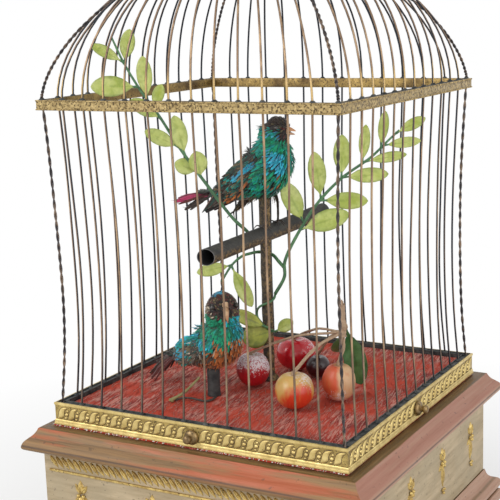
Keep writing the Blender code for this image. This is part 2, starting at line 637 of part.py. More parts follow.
def make_tree():
    base = FLOOR_Z + GAP
    post = turned("tree_post", [
        (TREE_BORE_R, FLOOR_Z + TREE_H), (TREE_R, FLOOR_Z + TREE_H), (TREE_R, base + 4),
        (TREE_R + 3.0, base + 1.2), (TREE_R + 3.0, base), (TREE_BORE_R, base),
    ], "bark_paper", steps=12, at=(TREE_X, TREE_Y, 0))
    centre = Vector((TREE_X, TREE_Y, FLOOR_Z + PERCH_Z))
    flat = cos(radians(PERCH_RISE))
    along = Vector((sin(radians(PERCH_SWING)) * flat, cos(radians(PERCH_SWING)) * flat,
                    sin(radians(PERCH_RISE))))
    front, back = centre - along * PERCH_FRONT, centre + along * PERCH_BACK
    perch = rod("perch_tube", front, back, PERCH_R, "bark_paper", 16)
    bore = rod("bore", front - along * 5, front + along * 40, PERCH_BORE_R, "bark_paper", 16)
    hole = rod("hole", centre - Vector((0, 0, 20)), centre + Vector((0, 0, 20)), TREE_R + GAP,
               "bark_paper")
    cut(perch, bore, hole)
    baked(post)
    turned("stump", [
        (TREE_BORE_R, FLOOR_Z + STUMP_H), (STUMP_R, FLOOR_Z + STUMP_H), (STUMP_R, base),
        (TREE_BORE_R, base),
    ], "bark_paper", steps=12, at=(STUMP_X, STUMP_Y, 0))
    by_post = TREE_R + STALK_R + 2 * GAP
    by_perch = (PERCH_R + GAP + STALK_R) / sin(radians(44))
    left = smooth_path([tree_point(218, out, z) for out, z in (
        (by_perch, 113.5), (14.5, 117.5), (25.5, 129), (45, 157), (61, 181), (75, 206), (85.5, 224),
        (97, 244), (105, 260))], SPRAY_KNOTS)
    spray("left_spray", [left], (
        (0, 6, 0.35, 0.93, 19, 14), (0, 7, -1.0, 0.05, 15, 12), (0, 8, -0.3, 0.95, 25, 12),
        (0, 8, -1.0, 0.15, 21, 12), (0, 9, -1.0, 0.25, 19, 8), (0, 10, 0.6, 0.8, 14, 8),
        (0, 11, 0.1, 1.0, 26, 11), (0, 12, -1.0, 0.13, 31, 15), (0, 14, -0.2, 1.0, 25, 11),
        (0, 14, -1.0, 0.3, 16, 9)))
    right = smooth_path([tree_point(SPRAY_TURN, out, z) for out, z in (
        (by_post, 67), (13.5, 80), (14.5, 93), (24.5, 113), (40, 136), (58, 154), (80, 169),
        (93, 181), (102, 189))], SPRAY_KNOTS)
    arch = [tree_point(angle, out, z) for angle, out, z in (
        (29, 14, 87), (45, 9.8, 92), (80, 8.6, 96), (125, 8, 98), (170, 8.4, 99),
        (196, 12, 98.6), (204, 18, 97), (207, 25, 91.6), (209, 30, 85), (210, 34, 78))]
    spray("right_spray", [right, arch], (
        (0, 7, -0.3, 0.95, 28, 15), (0, 8, -0.13, 1.0, 31, 15), (0, 10, -0.14, 1.0, 30, 15),
        (0, 11, 0.0, 1.0, 28, 9), (0, 13, 0.05, 1.0, 24, 9), (0, 7, 1.0, -0.05, 31, 17),
        (0, 8, 1.0, -0.1, 32, 11), (0, 10, 1.0, -0.03, 30, 12), (0, 11, 1.0, 0.14, 29, 9),
        (0, 13, 1.0, 0.12, 24, 8), (0, 15, 0.9, 0.45, 20, 9),
        (1, 7, 0.36, -0.93, 34, 14), (1, 7, -1.0, -0.02, 28, 10)))
    vine = [tree_point(angle, out, z) for angle, out, z in (
        (20, by_post, 61), (-10, by_post, 59.5), (-40, by_post, 58), (-75, by_post, 56.5),
        (-110, by_post, 55), (-145, 8.2, 52.5), (-160, 9.4, 50), (-150, 8.4, 47.5),
        (-122, by_post, 45.5), (-90, by_post, 43.5), (-60, by_post, 41.5), (-30, by_post, 39.5),
        (0, by_post, 38), (25, by_post, 37))]
    spray("post_vine", [vine], (
        (0, 9, -0.9, 0.36, 25, 12), (0, 11, -0.95, 0.22, 27, 14), (0, 13, 0.9, 0.42, 15, 9)))
    twig_foot = (STUMP_X - 20.4, STUMP_Y - 27.0, FLOOR_Z + 1.6)
    tube("fallen_twig", [[twig_foot, (STUMP_X - 14, STUMP_Y - 18.5, FLOOR_Z + 6),
                          (STUMP_X - 6.5, STUMP_Y - 9, FLOOR_Z + 15.5)]], 1.1, "leaf_green")


def make_fruit():
    stem_foot = Vector((FRUIT_TOP[0], FRUIT_TOP[1], FLOOR_Z + 51))
    crown = stem_foot + Vector((0, 0, 21))
    stems = []
    for name, (x, y, wide, tall, finish) in FRUIT.items():
        base = FLOOR_Z + GAP
        profile = []
        for k in range(FRUIT_RINGS + 1):
            angle = pi / 2 - pi * k / FRUIT_RINGS
            dimple = 1.0 - 0.10 * max(sin(angle), 0) ** 6
            profile.append((max(wide * cos(angle), 0.0) if 0 < k < FRUIT_RINGS else 0.0,
                            base + tall + tall * sin(angle) * dimple))
        profile[-1] = (0, base + 0.25)
        profile[-2] = (profile[-2][0], base + 0.25 if profile[-2][1] < base + 0.25 else
                       profile[-2][1])
        smooth(baked(turned(name, profile, finish, steps=12, at=(x, y, 0), closed=False)))
        top = Vector((x, y, base + 2 * tall * 0.95 + GAP + STEM_R))
        bend = (top + stem_foot) / 2 + Vector((0, 0, 5))
        if hypot(top.x - stem_foot.x, top.y - stem_foot.y) < 6:
            bend = (top + stem_foot) / 2 + Vector((2, 0, 0))
        stems.append(smooth_path([top, bend, stem_foot + Vector((0, 0, 1.5))], 6))
    bundle = rod("fruit_stems", stem_foot - Vector((0, 0, 2)), crown, 2.8, "bark_paper", 8, 2.0)
    grown = [tube("stem", [run], STEM_R, "bark_paper") for run in stems]
    for tip, width in (((4, 30, -46), 17), ((-18, 26, -26), 12)):
        tip_at = stem_foot + Vector(tip)
        grown.append(leaf("leaf", stem_foot, tip_at, (0.5, -0.8, 0.2), width, "dark_leaf"))
    join(bundle, *grown)


# Birds

class BirdPlace:
    """Turns a bird's own (forward, side, height) into the model's frame."""

    def __init__(self, x, y, heading):
        self.origin = Vector((x, y, 0))
        self.forward = Vector((cos(radians(heading)), sin(radians(heading)), 0))
        self.side = Vector((-self.forward.y, self.forward.x, 0))

    def __call__(self, forward, side, height):
        return self.origin + self.forward * forward + self.side * side + Vector((0, 0, height))


def bird_rings(place_at, stations, count=12, first_flat=True):
    """Rings round a bird's spine; a station is (forward, height, half depth, half width)."""
    rings = []
    for k, (x, z, deep, wide) in enumerate(stations):
        before, after = stations[max(k - 1, 0)], stations[min(k + 1, len(stations) - 1)]
        run = Vector((after[0] - before[0], after[1] - before[1]))
        if k == 0 and first_flat:
            run = Vector((0, after[1] - before[1]))
        run.normalize()
        across = Vector((-run.y, run.x))
        ring = []
        for j in range(count):
            angle = 2 * pi * j / count
            out = across * deep * cos(angle)
            ring.append(place_at(x + out.x, wide * sin(angle), z + out.y))
        rings.append(ring)
    return rings


def wing_rings(place_at, stations, side):
    """Rings of a folded wing: (forward, height, side, half depth, half thickness)."""
    rings = []
    for x, z, out, deep, thick in stations:
        ring = []
        for j in range(8):
            angle = 2 * pi * j / 8
            ring.append(place_at(x + deep * 0.55 * cos(angle), side * (out + thick * sin(angle)),
                                 z - deep * 0.84 * cos(angle)))
        rings.append(ring)
    return rings


def bird_trunk(prefix, place_at, body, wing, legs, socket):
    """Body and folded wings, with a socket in the belly for the tube it sits on."""
    trunk = loft(prefix + "_body", bird_rings(place_at, body), "feather_green")
    grown = [loft("wing", wing_rings(place_at, wing, side), "feather_dark") for side in (-1, 1)]
    for run in legs:
        grown.append(tube("leg", [[place_at(*p) for p in run]], LEG_R, "feather_dark"))
    trunk = join(trunk, *grown)
    (x, y), radius, top = socket
    bore = rod("bore", (x, y, top - 60), (x, y, top + GAP), radius + GAP, "feather_dark")
    cut(trunk, bore)


def bird_head(prefix, face, neck_z, rings, beak):
    """Head with the upper beak, cut away where the lower beak, a piece of its own, swings."""
    skull = loft(prefix + "_head", bird_rings(face, [
        (x, neck_z + z, deep, wide) for x, z, deep, wide in rings]), "feather_dark")
    root_x, root_z, slope, length, deep, rest = beak
    slope = radians(slope)

    def upper(along, side, lift):
        return face(root_x + along * cos(slope) - lift * sin(slope), side,
                    neck_z + root_z + along * sin(slope) + lift * cos(slope))

    cone = []
    for along, wide, tall in ((-5.0, 2.8, deep * 1.1), (1.0, 2.6, deep), (length * 0.6, 1.6, deep * 0.5),
                              (length, 0.3, 0.4)):
        cone.append([upper(along, wide, -0.5), upper(along, wide * 0.8, tall * 0.65),
                     upper(along, 0, tall), upper(along, -wide * 0.8, tall * 0.65),
                     upper(along, -wide, -0.5)])
    far = length + 5
    low = radians(BEAK_GAPE + 8)
    room = [(-2.0, 0.0), (far, 0.0), (far * cos(low), -far * sin(low)), (-2.0, -3.2)]
    wedge = [[upper(along, side, lift) for along, lift in room] for side in (-3.2, 3.2)]
    cut(join(skull, loft("upper_beak", cone, "beak_horn")), loft("wedge", wedge, "beak_horn"))

    turn = radians(-rest)
    jaw = []
    for along, wide, top, bottom in ((-0.6, 1.9, 0.8, -0.8), (2.0, 2.3, 1.1, -1.1),
                                     (length * 0.6, 1.4, 1.1, -0.3), (length - 0.8, 0.3, 1.1, 0.6)):
        ring = []
        for side, lift in ((wide, top), (-wide, top), (-wide * 0.6, bottom), (wide * 0.6, bottom)):
            ahead = along * cos(turn) - lift * sin(turn)
            rise = along * sin(turn) + lift * cos(turn) - JAW_DROP
            ring.append(upper(ahead, side, rise))
        jaw.append(ring)
    loft(prefix + "_lower_beak", jaw, "beak_horn")
    pivot_on(prefix + "_lower_beak", upper(0, 0, -JAW_DROP))
    pivot_on(prefix + "_head", face(0, 0, neck_z))


def bird_tail(prefix, place_at, root, drop, power, feathers):
    """Four overlapping feathers from a hinged root."""
    x, z = root
    made = []
    for k, (angle, length, width) in enumerate(feathers):
        out = radians(angle)
        rings = []
        for share, spread, thick in ((0.0, 0.5, 0.9), (0.10, 0.6, 1.7), (0.40, 0.8, 1.0),
                                     (0.72, 1.0, 0.8), (1.0, 0.4, 0.5)):
            run = length * share
            sag = drop * share ** power - 0.6 * k * share
            half = width / 2 * spread
            mid = (x - run * cos(out), run * sin(out), z - sag)
            rings.append([place_at(mid[0], mid[1] + side * half, mid[2] + lift * thick)
                          for side, lift in ((-1, 0), (0, 1), (1, 0), (0, -1))])
        made.append(loft(prefix + "_tail" if k == 0 else "feather", rings, "feather_dark"))
    join(*made)
    pivot_on(prefix + "_tail", place_at(x, 0, z))


def make_upper_bird():
    place_at = BirdPlace(TREE_X, TREE_Y, 0.0)
    top = FLOOR_Z + TREE_H
    body = ((9.2, 40.0, 11.6, 10.0), (8.5, 32.5, 15.0, 12.5), (6.5, 23.0, 17.8, 15.2),
            (-1.5, 14.5, 18.4, 16.6), (-12.5, 9.5, 15.0, 15.4), (-23.0, 4.8, 11.4, 12.8),
            (-33.0, 1.2, 7.6, 9.4), (-41.0, -1.8, 4.2, 5.4))
    wing = ((4, 26, 12.0, 7.5, 2.8), (-8, 16, 14.4, 10.0, 3.4), (-22, 4.5, 12.2, 8.6, 3.0),
            (-36, -6.5, 8.6, 5.2, 2.2), (-48, -15.5, 6.0, 1.8, 1.2))
    perch_top = FLOOR_Z + PERCH_Z + PERCH_R - top
    legs = (((5, -8, 4), (10, -9, -8), (5, -11, perch_top + 3.6), (-1, -12, perch_top + 1.6)),
            ((-18, 6, 0), (-25, 6.5, -9), (-33, 7, -20)))
    bird_trunk("upper_bird", place_at, [(x, top + z, d, w) for x, z, d, w in body],
               [(x, top + z, s, d, t) for x, z, s, d, t in wing],
               [[(x, y, top + z) for x, y, z in run] for run in legs],
               ((TREE_X, TREE_Y), TREE_R, top))
    neck = place_at(9.2, 0, 0)
    bird_head("upper_bird", BirdPlace(neck.x, neck.y, 0.0), top + 40.0 + GAP, (
        (0, 0, 11.2, 9.8), (1.6, 4.0, 11.0, 10.2), (3.0, 8.5, 10.4, 9.8), (3.2, 12.4, 8.0, 7.6),
        (2.8, 15.2, 4.0, 4.0)), (12.0, 6.6, 8.0, 7.0, 4.2, BEAK_GAPE))
    bird_tail("upper_bird", place_at, (-41.9, top - 1.8), 10.0, 1.3,
              ((-13, 38, 6), (-4, 41, 6), (5, 40, 6), (14, 36, 6)))


def make_lower_bird():
    place_at = BirdPlace(STUMP_X, STUMP_Y, LOWER_TURN)
    top = FLOOR_Z + STUMP_H
    body = ((11.0, 32.5, 12.4, 11.4), (10.5, 25.0, 15.2, 14.4), (7.0, 17.0, 17.2, 16.6),
            (-1.5, 11.5, 15.2, 15.6), (-12.0, 8.0, 11.2, 13.0), (-22.0, 3.4, 7.6, 9.6),
            (-30.0, 0.4, 4.2, 5.6))
    wing = ((4, 20, 13.0, 7.5, 2.8), (-8, 13, 14.2, 9.0, 3.4), (-20, 5.5, 11.4, 6.6, 2.8),
            (-31, -0.5, 7.6, 2.4, 1.6))
    bird_trunk("lower_bird", place_at, [(x, top + z, d, w) for x, z, d, w in body],
               [(x, top + z, s, d, t) for x, z, s, d, t in wing],
               [], ((STUMP_X, STUMP_Y), STUMP_R, top))
    neck = place_at(11.0, 0, 0)
    facing = LOWER_TURN + LOWER_HEAD_TURN
    bird_head("lower_bird", BirdPlace(neck.x, neck.y, facing), top + 32.5 + GAP, (
        (0, 0, 12.0, 11.2), (0.6, 6.0, 13.6, 12.0), (0.8, 12.0, 13.2, 11.4), (0.4, 17.0, 10.0, 9.0),
        (0, 20.6, 5.0, 5.0)), (12.6, 12.0, -50.0, 13.0, 3.6, 0.0))
    bird_tail("lower_bird", place_at, (-30.9, top + 0.4), 19.5, 1.9,
              ((-16, 28, 6.4), (-6, 32, 6.4), (5, 33, 6.4), (15, 29, 6.4)))


# Movement, bellows and whistle

def gear_outline(x, y, teeth, module, tooth_at):
    """Pointed clock teeth, with one centred on the angle tooth_at."""
    pitch_r = teeth * module / 2
    out = []
    for k in range(teeth):
        middle = tooth_at + 2 * pi * k / teeth
        for radius, share in ((pitch_r - 1.0 * module, -0.26), (pitch_r + 0.7 * module, 0.0),
                              (pitch_r - 1.0 * module, 0.26)):
            angle = middle + share * 2 * pi / teeth
            out.append((x + radius * cos(angle), y + radius * sin(angle)))
    return out


def make_train():
    x0, y0, x1, y1 = PLATE_BOX
    arbors = ((BARREL_X, BARREL_Y), (CAM_X, CAM_Y), (INTER_X, INTER_Y), (FLY_X, FLY_Y))
    corners = ((x0 + 6, y0 + 6), (x1 - 6, y0 + 6), (x1 - 6, y1 - 6), (x0 + 6, y1 - 6))
    outline = [(x0, y0), (x1, y0), (x1, y1), (x0, y1)]
    holes = [circle(x, y, ARBOR_R + 2 * GAP, 8) for x, y in arbors]
    frame = plate("movement_frame", [outline] + holes, PLATE_LOW_Z, PLATE_LOW_Z + PLATE_T,
                  "movement_brass")
    upper = plate("upper", [outline] + holes, PLATE_HIGH_Z, PLATE_HIGH_Z + PLATE_T,
                  "movement_brass")
    pillars = [rod("pillar", (x, y, BOARD_BOTTOM + BOARD_T + GAP), (x, y, PLATE_HIGH_Z + 1), 3.0,
                   "movement_brass", 8) for x, y in corners]
    stud = rod("stud", (PIVOT_X, PIVOT_Y, PLATE_HIGH_Z + 1),
               (PIVOT_X, PIVOT_Y, CAM_LOW_Z + CAM_STEP * 3), PIVOT_R, "movement_brass", 12)
    join(frame, upper, *pillars, stud)

    low, high = PLATE_LOW_Z - 0.5, PLATE_HIGH_Z + PLATE_T + 0.5
    great = plate("mainspring_barrel",
                  [gear_outline(BARREL_X, BARREL_Y, GREAT_TEETH, GREAT_MODULE, 0.0)],
                  GREAT_Z, GREAT_Z + WHEEL_T, "movement_brass")
    drum = rod("drum", (BARREL_X, BARREL_Y, GREAT_Z + 1), (BARREL_X, BARREL_Y, GREAT_Z + 22),
               BARREL_R, "movement_brass", 20)
    arbor = rod("arbor", (BARREL_X, BARREL_Y, low), (BARREL_X, BARREL_Y, high), ARBOR_R,
                "steel", 12)
    join(great, drum, arbor)
    pivot_on("mainspring_barrel", (BARREL_X, BARREL_Y, GREAT_Z))

    pinion = plate("cam_stack", [gear_outline(CAM_X, CAM_Y, PINION_TEETH, GREAT_MODULE,
                                              pi + pi / PINION_TEETH)],
                   GREAT_Z - 0.5, GREAT_Z + WHEEL_T + 1.5, "movement_brass")
    cams = []
    for k, waves in enumerate(CAM_WAVES):
        most = CAM_R if k else HEAD_CAM_R
        edge = []
        for j in range(16):
            angle = 2 * pi * j / 16
            radius = most - CAM_RISE * (0.5 + 0.5 * sin(waves * angle + k))
            edge.append((CAM_X + radius * cos(angle), CAM_Y + radius * sin(angle)))
        z = CAM_LOW_Z + CAM_STEP * k
        cams.append(plate("cam", [edge], z, z + CAM_T, "movement_brass"))
    arbor = rod("arbor", (CAM_X, CAM_Y, low), (CAM_X, CAM_Y, CAM_LOW_Z + CAM_STEP * len(CAM_WAVES)),
                ARBOR_R, "steel", 12)
    join(pinion, *cams, arbor)
    pivot_on("cam_stack", (CAM_X, CAM_Y, GREAT_Z))

    pinion = plate("intermediate_wheel",
                   [gear_outline(INTER_X, INTER_Y, PINION_TEETH, GREAT_MODULE, inter_phase())],
                   GREAT_Z - 0.5, GREAT_Z + WHEEL_T + 1.5, "steel")
    wheel = plate("wheel", [gear_outline(INTER_X, INTER_Y, INTER_TEETH, INTER_MODULE,
                                         radians(FLY_ANGLE))],
                  INTER_Z, INTER_Z + 2.0, "movement_brass")
    arbor = rod("arbor", (INTER_X, INTER_Y, low), (INTER_X, INTER_Y, high), ARBOR_R, "steel", 12)
    join(pinion, wheel, arbor)
    pivot_on("intermediate_wheel", (INTER_X, INTER_Y, GREAT_Z))

    pinion = plate("governor_fly", [gear_outline(
        FLY_X, FLY_Y, PINION_TEETH, INTER_MODULE, radians(FLY_ANGLE) + pi + pi / PINION_TEETH)],
        INTER_Z - 1.0, INTER_Z + 3.0, "steel")
    arbor = rod("arbor", (FLY_X, FLY_Y, low), (FLY_X, FLY_Y, 108), 1.6, "steel", 10)
    vane = box("vane", (-VANE_R, -0.5, 92), (VANE_R, 0.5, 106), "movement_brass")
    vane.matrix_world = Matrix.Translation((FLY_X * MM, FLY_Y * MM, 0))
    join(pinion, arbor, baked(vane))
    pivot_on("governor_fly", (FLY_X, FLY_Y, INTER_Z))


def inter_phase():
    """Tooth angle that puts a gap of the pinion over a tooth of the great wheel."""
    out = radians(INTER_ANGLE)
    pitch = 2 * pi / GREAT_TEETH
    nearest = round(out / pitch) * pitch
    slip = (out - nearest) * GREAT_TEETH / PINION_TEETH
    return out + pi + pi / PINION_TEETH + slip


def make_key():
    key = rod("winding_key", (BARREL_X, BARREL_Y, 6.0), (BARREL_X, BARREL_Y, low_square()),
              KEY_R, "steel", 16)
    wings = box("wings", (-15, -1.4, 1.6), (15, 1.4, 11.0), "steel")
    wings.matrix_world = Matrix.Translation((BARREL_X * MM, BARREL_Y * MM, 0))
    join(key, baked(wings))
    pivot_on("winding_key", (BARREL_X, BARREL_Y, 15))


def low_square():
    return PLATE_LOW_Z - 0.5 - GAP


def make_levers():
    pivot = Vector((PIVOT_X, PIVOT_Y))
    apart = hypot(CAM_X - PIVOT_X, CAM_Y - PIVOT_Y)
    off = CAM_R + GAP
    reach = (apart ** 2 - off ** 2) ** 0.5
    heading = degrees(atan2(CAM_Y - PIVOT_Y, CAM_X - PIVOT_X) + asin(off / apart))
    for k, word in enumerate(("head_lever", "beak_lever", "tail_lever")):
        z = CAM_LOW_Z + CAM_STEP * k
        arm = Matrix.Rotation(radians(heading), 2)
        tail = Matrix.Rotation(radians(heading + 126 + 12 * k), 2)
        outline = [arm @ Vector(p) for p in (
            (reach - 0.5, 0), (reach + 0.5, 0), (reach + 2.2, 2.2), (reach + 2.2, 4.0), (2, 4.6))]
        outline += [tail @ Vector(p) for p in ((4, -4.2), (26, -1.8), (26, 1.8), (4, 4.2))]
        outline += [arm @ Vector(p) for p in ((1, -4.4), (reach - 2.2, 2.0))]
        hole = circle(PIVOT_X, PIVOT_Y, PIVOT_R + GAP, 12)
        plate(word, [[tuple(pivot + p) for p in outline], hole], z, z + CAM_T, "steel")
        pivot_on(word, (PIVOT_X, PIVOT_Y, z))
    top = CAM_LOW_Z + CAM_STEP * len(CAM_WAVES) + GAP
    tube("upper_push_rod", [[(TREE_X, TREE_Y, top), (TREE_X, TREE_Y, FLOOR_Z + TREE_H - 6)]],
         ROD_R, "steel", 1)
    pivot_on("upper_push_rod", (TREE_X, TREE_Y, top))
    tube("lower_push_rod", [[(STUMP_X, STUMP_Y, top), (STUMP_X, STUMP_Y, FLOOR_Z + STUMP_H - 6)]],
         ROD_R, "steel", 1)
    pivot_on("lower_push_rod", (STUMP_X, STUMP_Y, top))
    z = LEVER_Z
    x, y = LEVER_X, LEVER_Y
    reach = FLY_X - VANE_R - 2.5
    outline = [(-FRIEZE_HALF - 8.5, y - 1.8), (x - 4, y - 1.8), (x, y - 5), (x + 4, y - 1.8),
               (reach, FLY_Y - 1.0), (reach, FLY_Y + 1.0), (x + 4, y + 1.8), (x, y + 5),
               (x - 4, y + 1.8), (-FRIEZE_HALF - 8.5, y + 1.8)]
    lever = plate("start_stop_lever", [outline, circle(x, y, 2.0 + GAP, 12)],
                  z - LEVER_T / 2, z + LEVER_T / 2, "gilt_brass")
    ball = rod("ball", (-FRIEZE_HALF - 7.5, LEVER_Y, z - 3), (-FRIEZE_HALF - 7.5, LEVER_Y, z + 3),
               3.0, "gilt_brass", 12)
    join(lever, ball)
    pivot_on("start_stop_lever", (LEVER_X, LEVER_Y, LEVER_Z))


def make_song():
    low = BOARD_BOTTOM + BOARD_T + GAP
    x0, x1, y0, y1 = PLATE_BOX[2] + 18.0, FRIEZE_HALF - WOOD_T - 7.3, -44.0, 30.0
    base = box("bellows_base", (x0, y0, low), (x1, y1, low + 6), "plain_wood")
    folds = box("folds", (x0 + 3, y0 + 3, low + 5), (x1 - 3, y1 - 3, low + 26), "leather")
    middle = box("middle", (x0, y0, low + 25), (x1, y1, low + 30), "plain_wood")
    join(base, folds, middle)
    hinge_z = low + 30 + GAP
    feeder = loft("bellows_feeder", [
        [(x0, y, hinge_z), (x1, y, hinge_z), (x1, y, hinge_z + rise), (x0, y, hinge_z + rise)]
        for y, rise in ((y0, 16.0), (y1, 5.0))], "leather")
    pivot_on("bellows_feeder", ((x0 + x1) / 2, y1, hinge_z))
    z = 60.0
    tube_y = PLATE_BOX[3] + 10.0
    tube_end = FRIEZE_HALF - WOOD_T - 17.3
    whistle = rod("whistle_tube", (20, tube_y, z), (tube_end, tube_y, z), 7.0,
                  "movement_brass", 14)
    bore = rod("bore", (14, tube_y, z), (tube_end - 8, tube_y, z), 5.4, "movement_brass", 14)
    mouth = box("mouth", (tube_end - 14, tube_y - 3, z + 3), (tube_end - 10, tube_y + 3, z + 9),
                "movement_brass")
    saddle = box("saddle", (40, tube_y - 5, low), (52, tube_y + 5, z - 6.0), "plain_wood")
    saddle_b = box("saddle", (tube_end - 20, tube_y - 5, low), (tube_end - 8, tube_y + 5, z - 6.0),
                   "plain_wood")
    whistle = cut(whistle, bore, mouth)
    join(whistle, saddle, saddle_b)
    piston = rod("whistle_piston", (44, tube_y, z), (52, tube_y, z), 4.9, "leather", 14)
    stem = rod("stem", (-6, tube_y, z), (45, tube_y, z), 1.2, "steel", 8)
    join(piston, stem)
    pivot_on("whistle_piston", (44, tube_y, z))


clear_scene()
PARTS = new_collection("singing_bird_automaton")
make_base()
make_cage()
make_tree()
make_fruit()
make_upper_bird()
make_lower_bird()
make_train()
make_key()
make_levers()
make_song()
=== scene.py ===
"""Looks of the singing bird automaton: drawn wires, embossed gilding, waxed leaves, cotton fruit and
plumage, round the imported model.

Run as a script. Lengths are written in millimetres and multiplied by MM, in the model's own frame:
Z up, the front side facing -Y, the right side facing +X.
"""

from math import atan2, cos, hypot, pi, radians, sin
from random import Random

import bpy
from bpy.props import FloatProperty, FloatVectorProperty, IntProperty, PointerProperty
from mathutils import Matrix, Vector


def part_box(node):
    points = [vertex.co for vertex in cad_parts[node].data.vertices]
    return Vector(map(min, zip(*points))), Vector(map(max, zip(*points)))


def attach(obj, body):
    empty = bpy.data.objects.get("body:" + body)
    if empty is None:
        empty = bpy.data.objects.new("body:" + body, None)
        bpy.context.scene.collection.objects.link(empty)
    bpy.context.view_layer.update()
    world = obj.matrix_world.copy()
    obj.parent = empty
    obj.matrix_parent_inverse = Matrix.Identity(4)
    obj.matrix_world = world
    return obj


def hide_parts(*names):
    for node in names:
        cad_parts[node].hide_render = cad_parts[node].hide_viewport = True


bl_info = {
    "name": "Singing Bird Automaton Looks",
    "version": (1, 0, 0),
    "blender": (4, 5, 0),
    "location": "3D View > Sidebar > Automaton",
    "description": "Dresses the packed singing bird automaton in wire, gilding, leaves, fruit and plumage",
    "category": "Object",
}

MM = 0.001
UP = Vector((0, 0, 1))
SIDES = ("front", "right", "back", "left")

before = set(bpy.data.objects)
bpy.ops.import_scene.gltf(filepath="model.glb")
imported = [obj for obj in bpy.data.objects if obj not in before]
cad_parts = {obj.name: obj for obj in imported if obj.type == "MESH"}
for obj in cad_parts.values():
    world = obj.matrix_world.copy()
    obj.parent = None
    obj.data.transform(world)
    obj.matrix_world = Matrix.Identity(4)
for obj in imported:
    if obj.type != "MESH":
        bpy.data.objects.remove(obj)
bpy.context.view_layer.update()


def corners(node):
    """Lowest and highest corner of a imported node, in millimetres."""
    low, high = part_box(node)
    return low / MM, high / MM


STRIP_LOW, STRIP_TOP = (corner.z for corner in corners("gallery_strip"))
BAND_LOW, BAND_TOP = (corner.z for corner in corners("band_outer_strip"))
CROWN_Z = corners("crown_cap")[0].z + 2.0
FLOOR_Z = corners("floor_mat")[1].z
CAGE_HALF = corners("gallery_strip")[1].x - 0.8
RAIL_OUT = CAGE_HALF - 0.95
RAIL_W, RAIL_H = 5.4, 6.0
WIRE_HALF = RAIL_OUT - RAIL_W / 2
WAIST = 4.0
DOME_H = CROWN_Z - BAND_TOP
CROWN_R = 28.0
WIRES_PER_SIDE = 12
CORNICE_FLAT, NOSE_HALF = 127.3, corners("base_cornice")[1].x
TREE, STUMP = ((low + high) / 2 for low, high in (corners("tree_post"), corners("stump")))
POST_TOP, STUMP_TOP = corners("tree_post")[1].z, corners("stump")[1].z
SEAM_Z = 0.1117  # metres: the line where the cornice's nose meets its flat part
NOSE_FROM, NOSE_FULL = 0.1115, 0.1145

# Where the camera stands, in millimetres, its yaw, pitch down and roll in degrees, and its frame's shift
CAMERA_AT = (433.9, -782.5, 420.7)
CAMERA_TURNS = (29.19, 11.31, -1.82)
CAMERA_SHIFT = (-0.0314, -0.0014)
# The picture's rightward and near directions on the ground, which the sprays were read in
RIGHTWARD = Vector((cos(radians(29)), sin(radians(29)), 0))
TOWARD = Vector((sin(radians(29)), -cos(radians(29)), 0))


def colour_property(name, description, default):
    return FloatVectorProperty(name=name, description=description, default=default, size=3, subtype="COLOR",
                               min=0.0, max=1.0)


class CageSettings(bpy.types.PropertyGroup):
    wire_radius: FloatProperty(name="Wire radius", description="Half the thickness of a cage wire",
                               default=0.78 * MM, min=0.3 * MM, unit="LENGTH")
    wire_bow: FloatProperty(name="Wire bow", description="How far a wire strays from its straight line",
                            default=0.45 * MM, min=0.0, unit="LENGTH")
    twist_pitch: FloatProperty(name="Twist pitch",
                               description="Length of one turn of a corner post's two wires",
                               default=12.0 * MM, min=4 * MM, unit="LENGTH")
    rubbed: colour_property("Rubbed wire", "Colour of the wires' outer faces", (0.235, 0.15, 0.092))
    patina: colour_property("Wire patina", "Colour of the wires' inner faces", (0.022, 0.028, 0.038))
    scrolls: IntProperty(name="Scrolls a side", description="Embossed scrolls along each side of the strip",
                         default=25, min=4, max=60)
    gilding: colour_property("Gilding", "Colour of the embossed brass strip", (0.78, 0.61, 0.25))


class BaseSettings(bpy.types.PropertyGroup):
    gold: colour_property("Worn gold", "Gold left on the mouldings", (0.30, 0.17, 0.070))
    bole: colour_property("Bole", "Red clay showing where the gold is rubbed through", (0.40, 0.095, 0.034))
    matting: colour_property("Matting", "Colour of the cage's floor", (0.46, 0.050, 0.028))
    fibre: colour_property("Matting fibres", "Pale fibres that show through the floor's colour",
                           (0.60, 0.30, 0.24))


class TreeSettings(bpy.types.PropertyGroup):
    leaf: colour_property("Leaf", "Main colour of the waxed leaves", (0.34, 0.42, 0.060))
    leaf_pale: colour_property("Pale leaf", "Colour where the leaf's wax has bleached", (0.56, 0.61, 0.19))
    stem: colour_property("Stem", "Colour of the stems", (0.045, 0.13, 0.055))


class BirdSettings(bpy.types.PropertyGroup):
    body_feathers: IntProperty(name="Body feathers", description="Small feathers on each bird's trunk",
                               default=3000, min=50, max=8000)
    head_feathers: IntProperty(name="Head feathers", description="Small feathers on each bird's head",
                               default=1300, min=50, max=4000)
    ruffle: FloatProperty(name="Ruffle", description="How far the feathers turn from their lie",
                          default=radians(15), min=0.0, max=radians(60), unit="ROTATION")


class StageSettings(bpy.types.PropertyGroup):
    lens: FloatProperty(name="Lens", description="Focal length of the camera in millimetres",
                        default=87.28, min=20.0, max=300.0)
    key_power: FloatProperty(name="Key light", description="Power of the lamp at the front left, in watts",
                             default=8.0, min=0.0, unit="POWER")
    sky: FloatProperty(name="Sky", description="Brightness of the surroundings", default=0.64, min=0.0)


# Shapes

def wheel(count):
    """The angles of so many even steps round a circle."""
    return [2 * pi * k / count for k in range(count)]


def heading(path, k):
    """Which way a path runs at one of its points."""
    return (path[min(k + 1, len(path) - 1)] - path[max(k - 1, 0)]).normalized()


def turn_about_z(side):
    """The turn from the front side to the given one; 1 is the right side."""
    return Matrix.Rotation(side * pi / 2, 3, "Z")


def side_frame(side):
    """A side's turn, its outward direction and the direction along it."""
    spin = turn_about_z(side)
    return spin, spin @ Vector((0, -1, 0)), spin @ Vector((1, 0, 0))


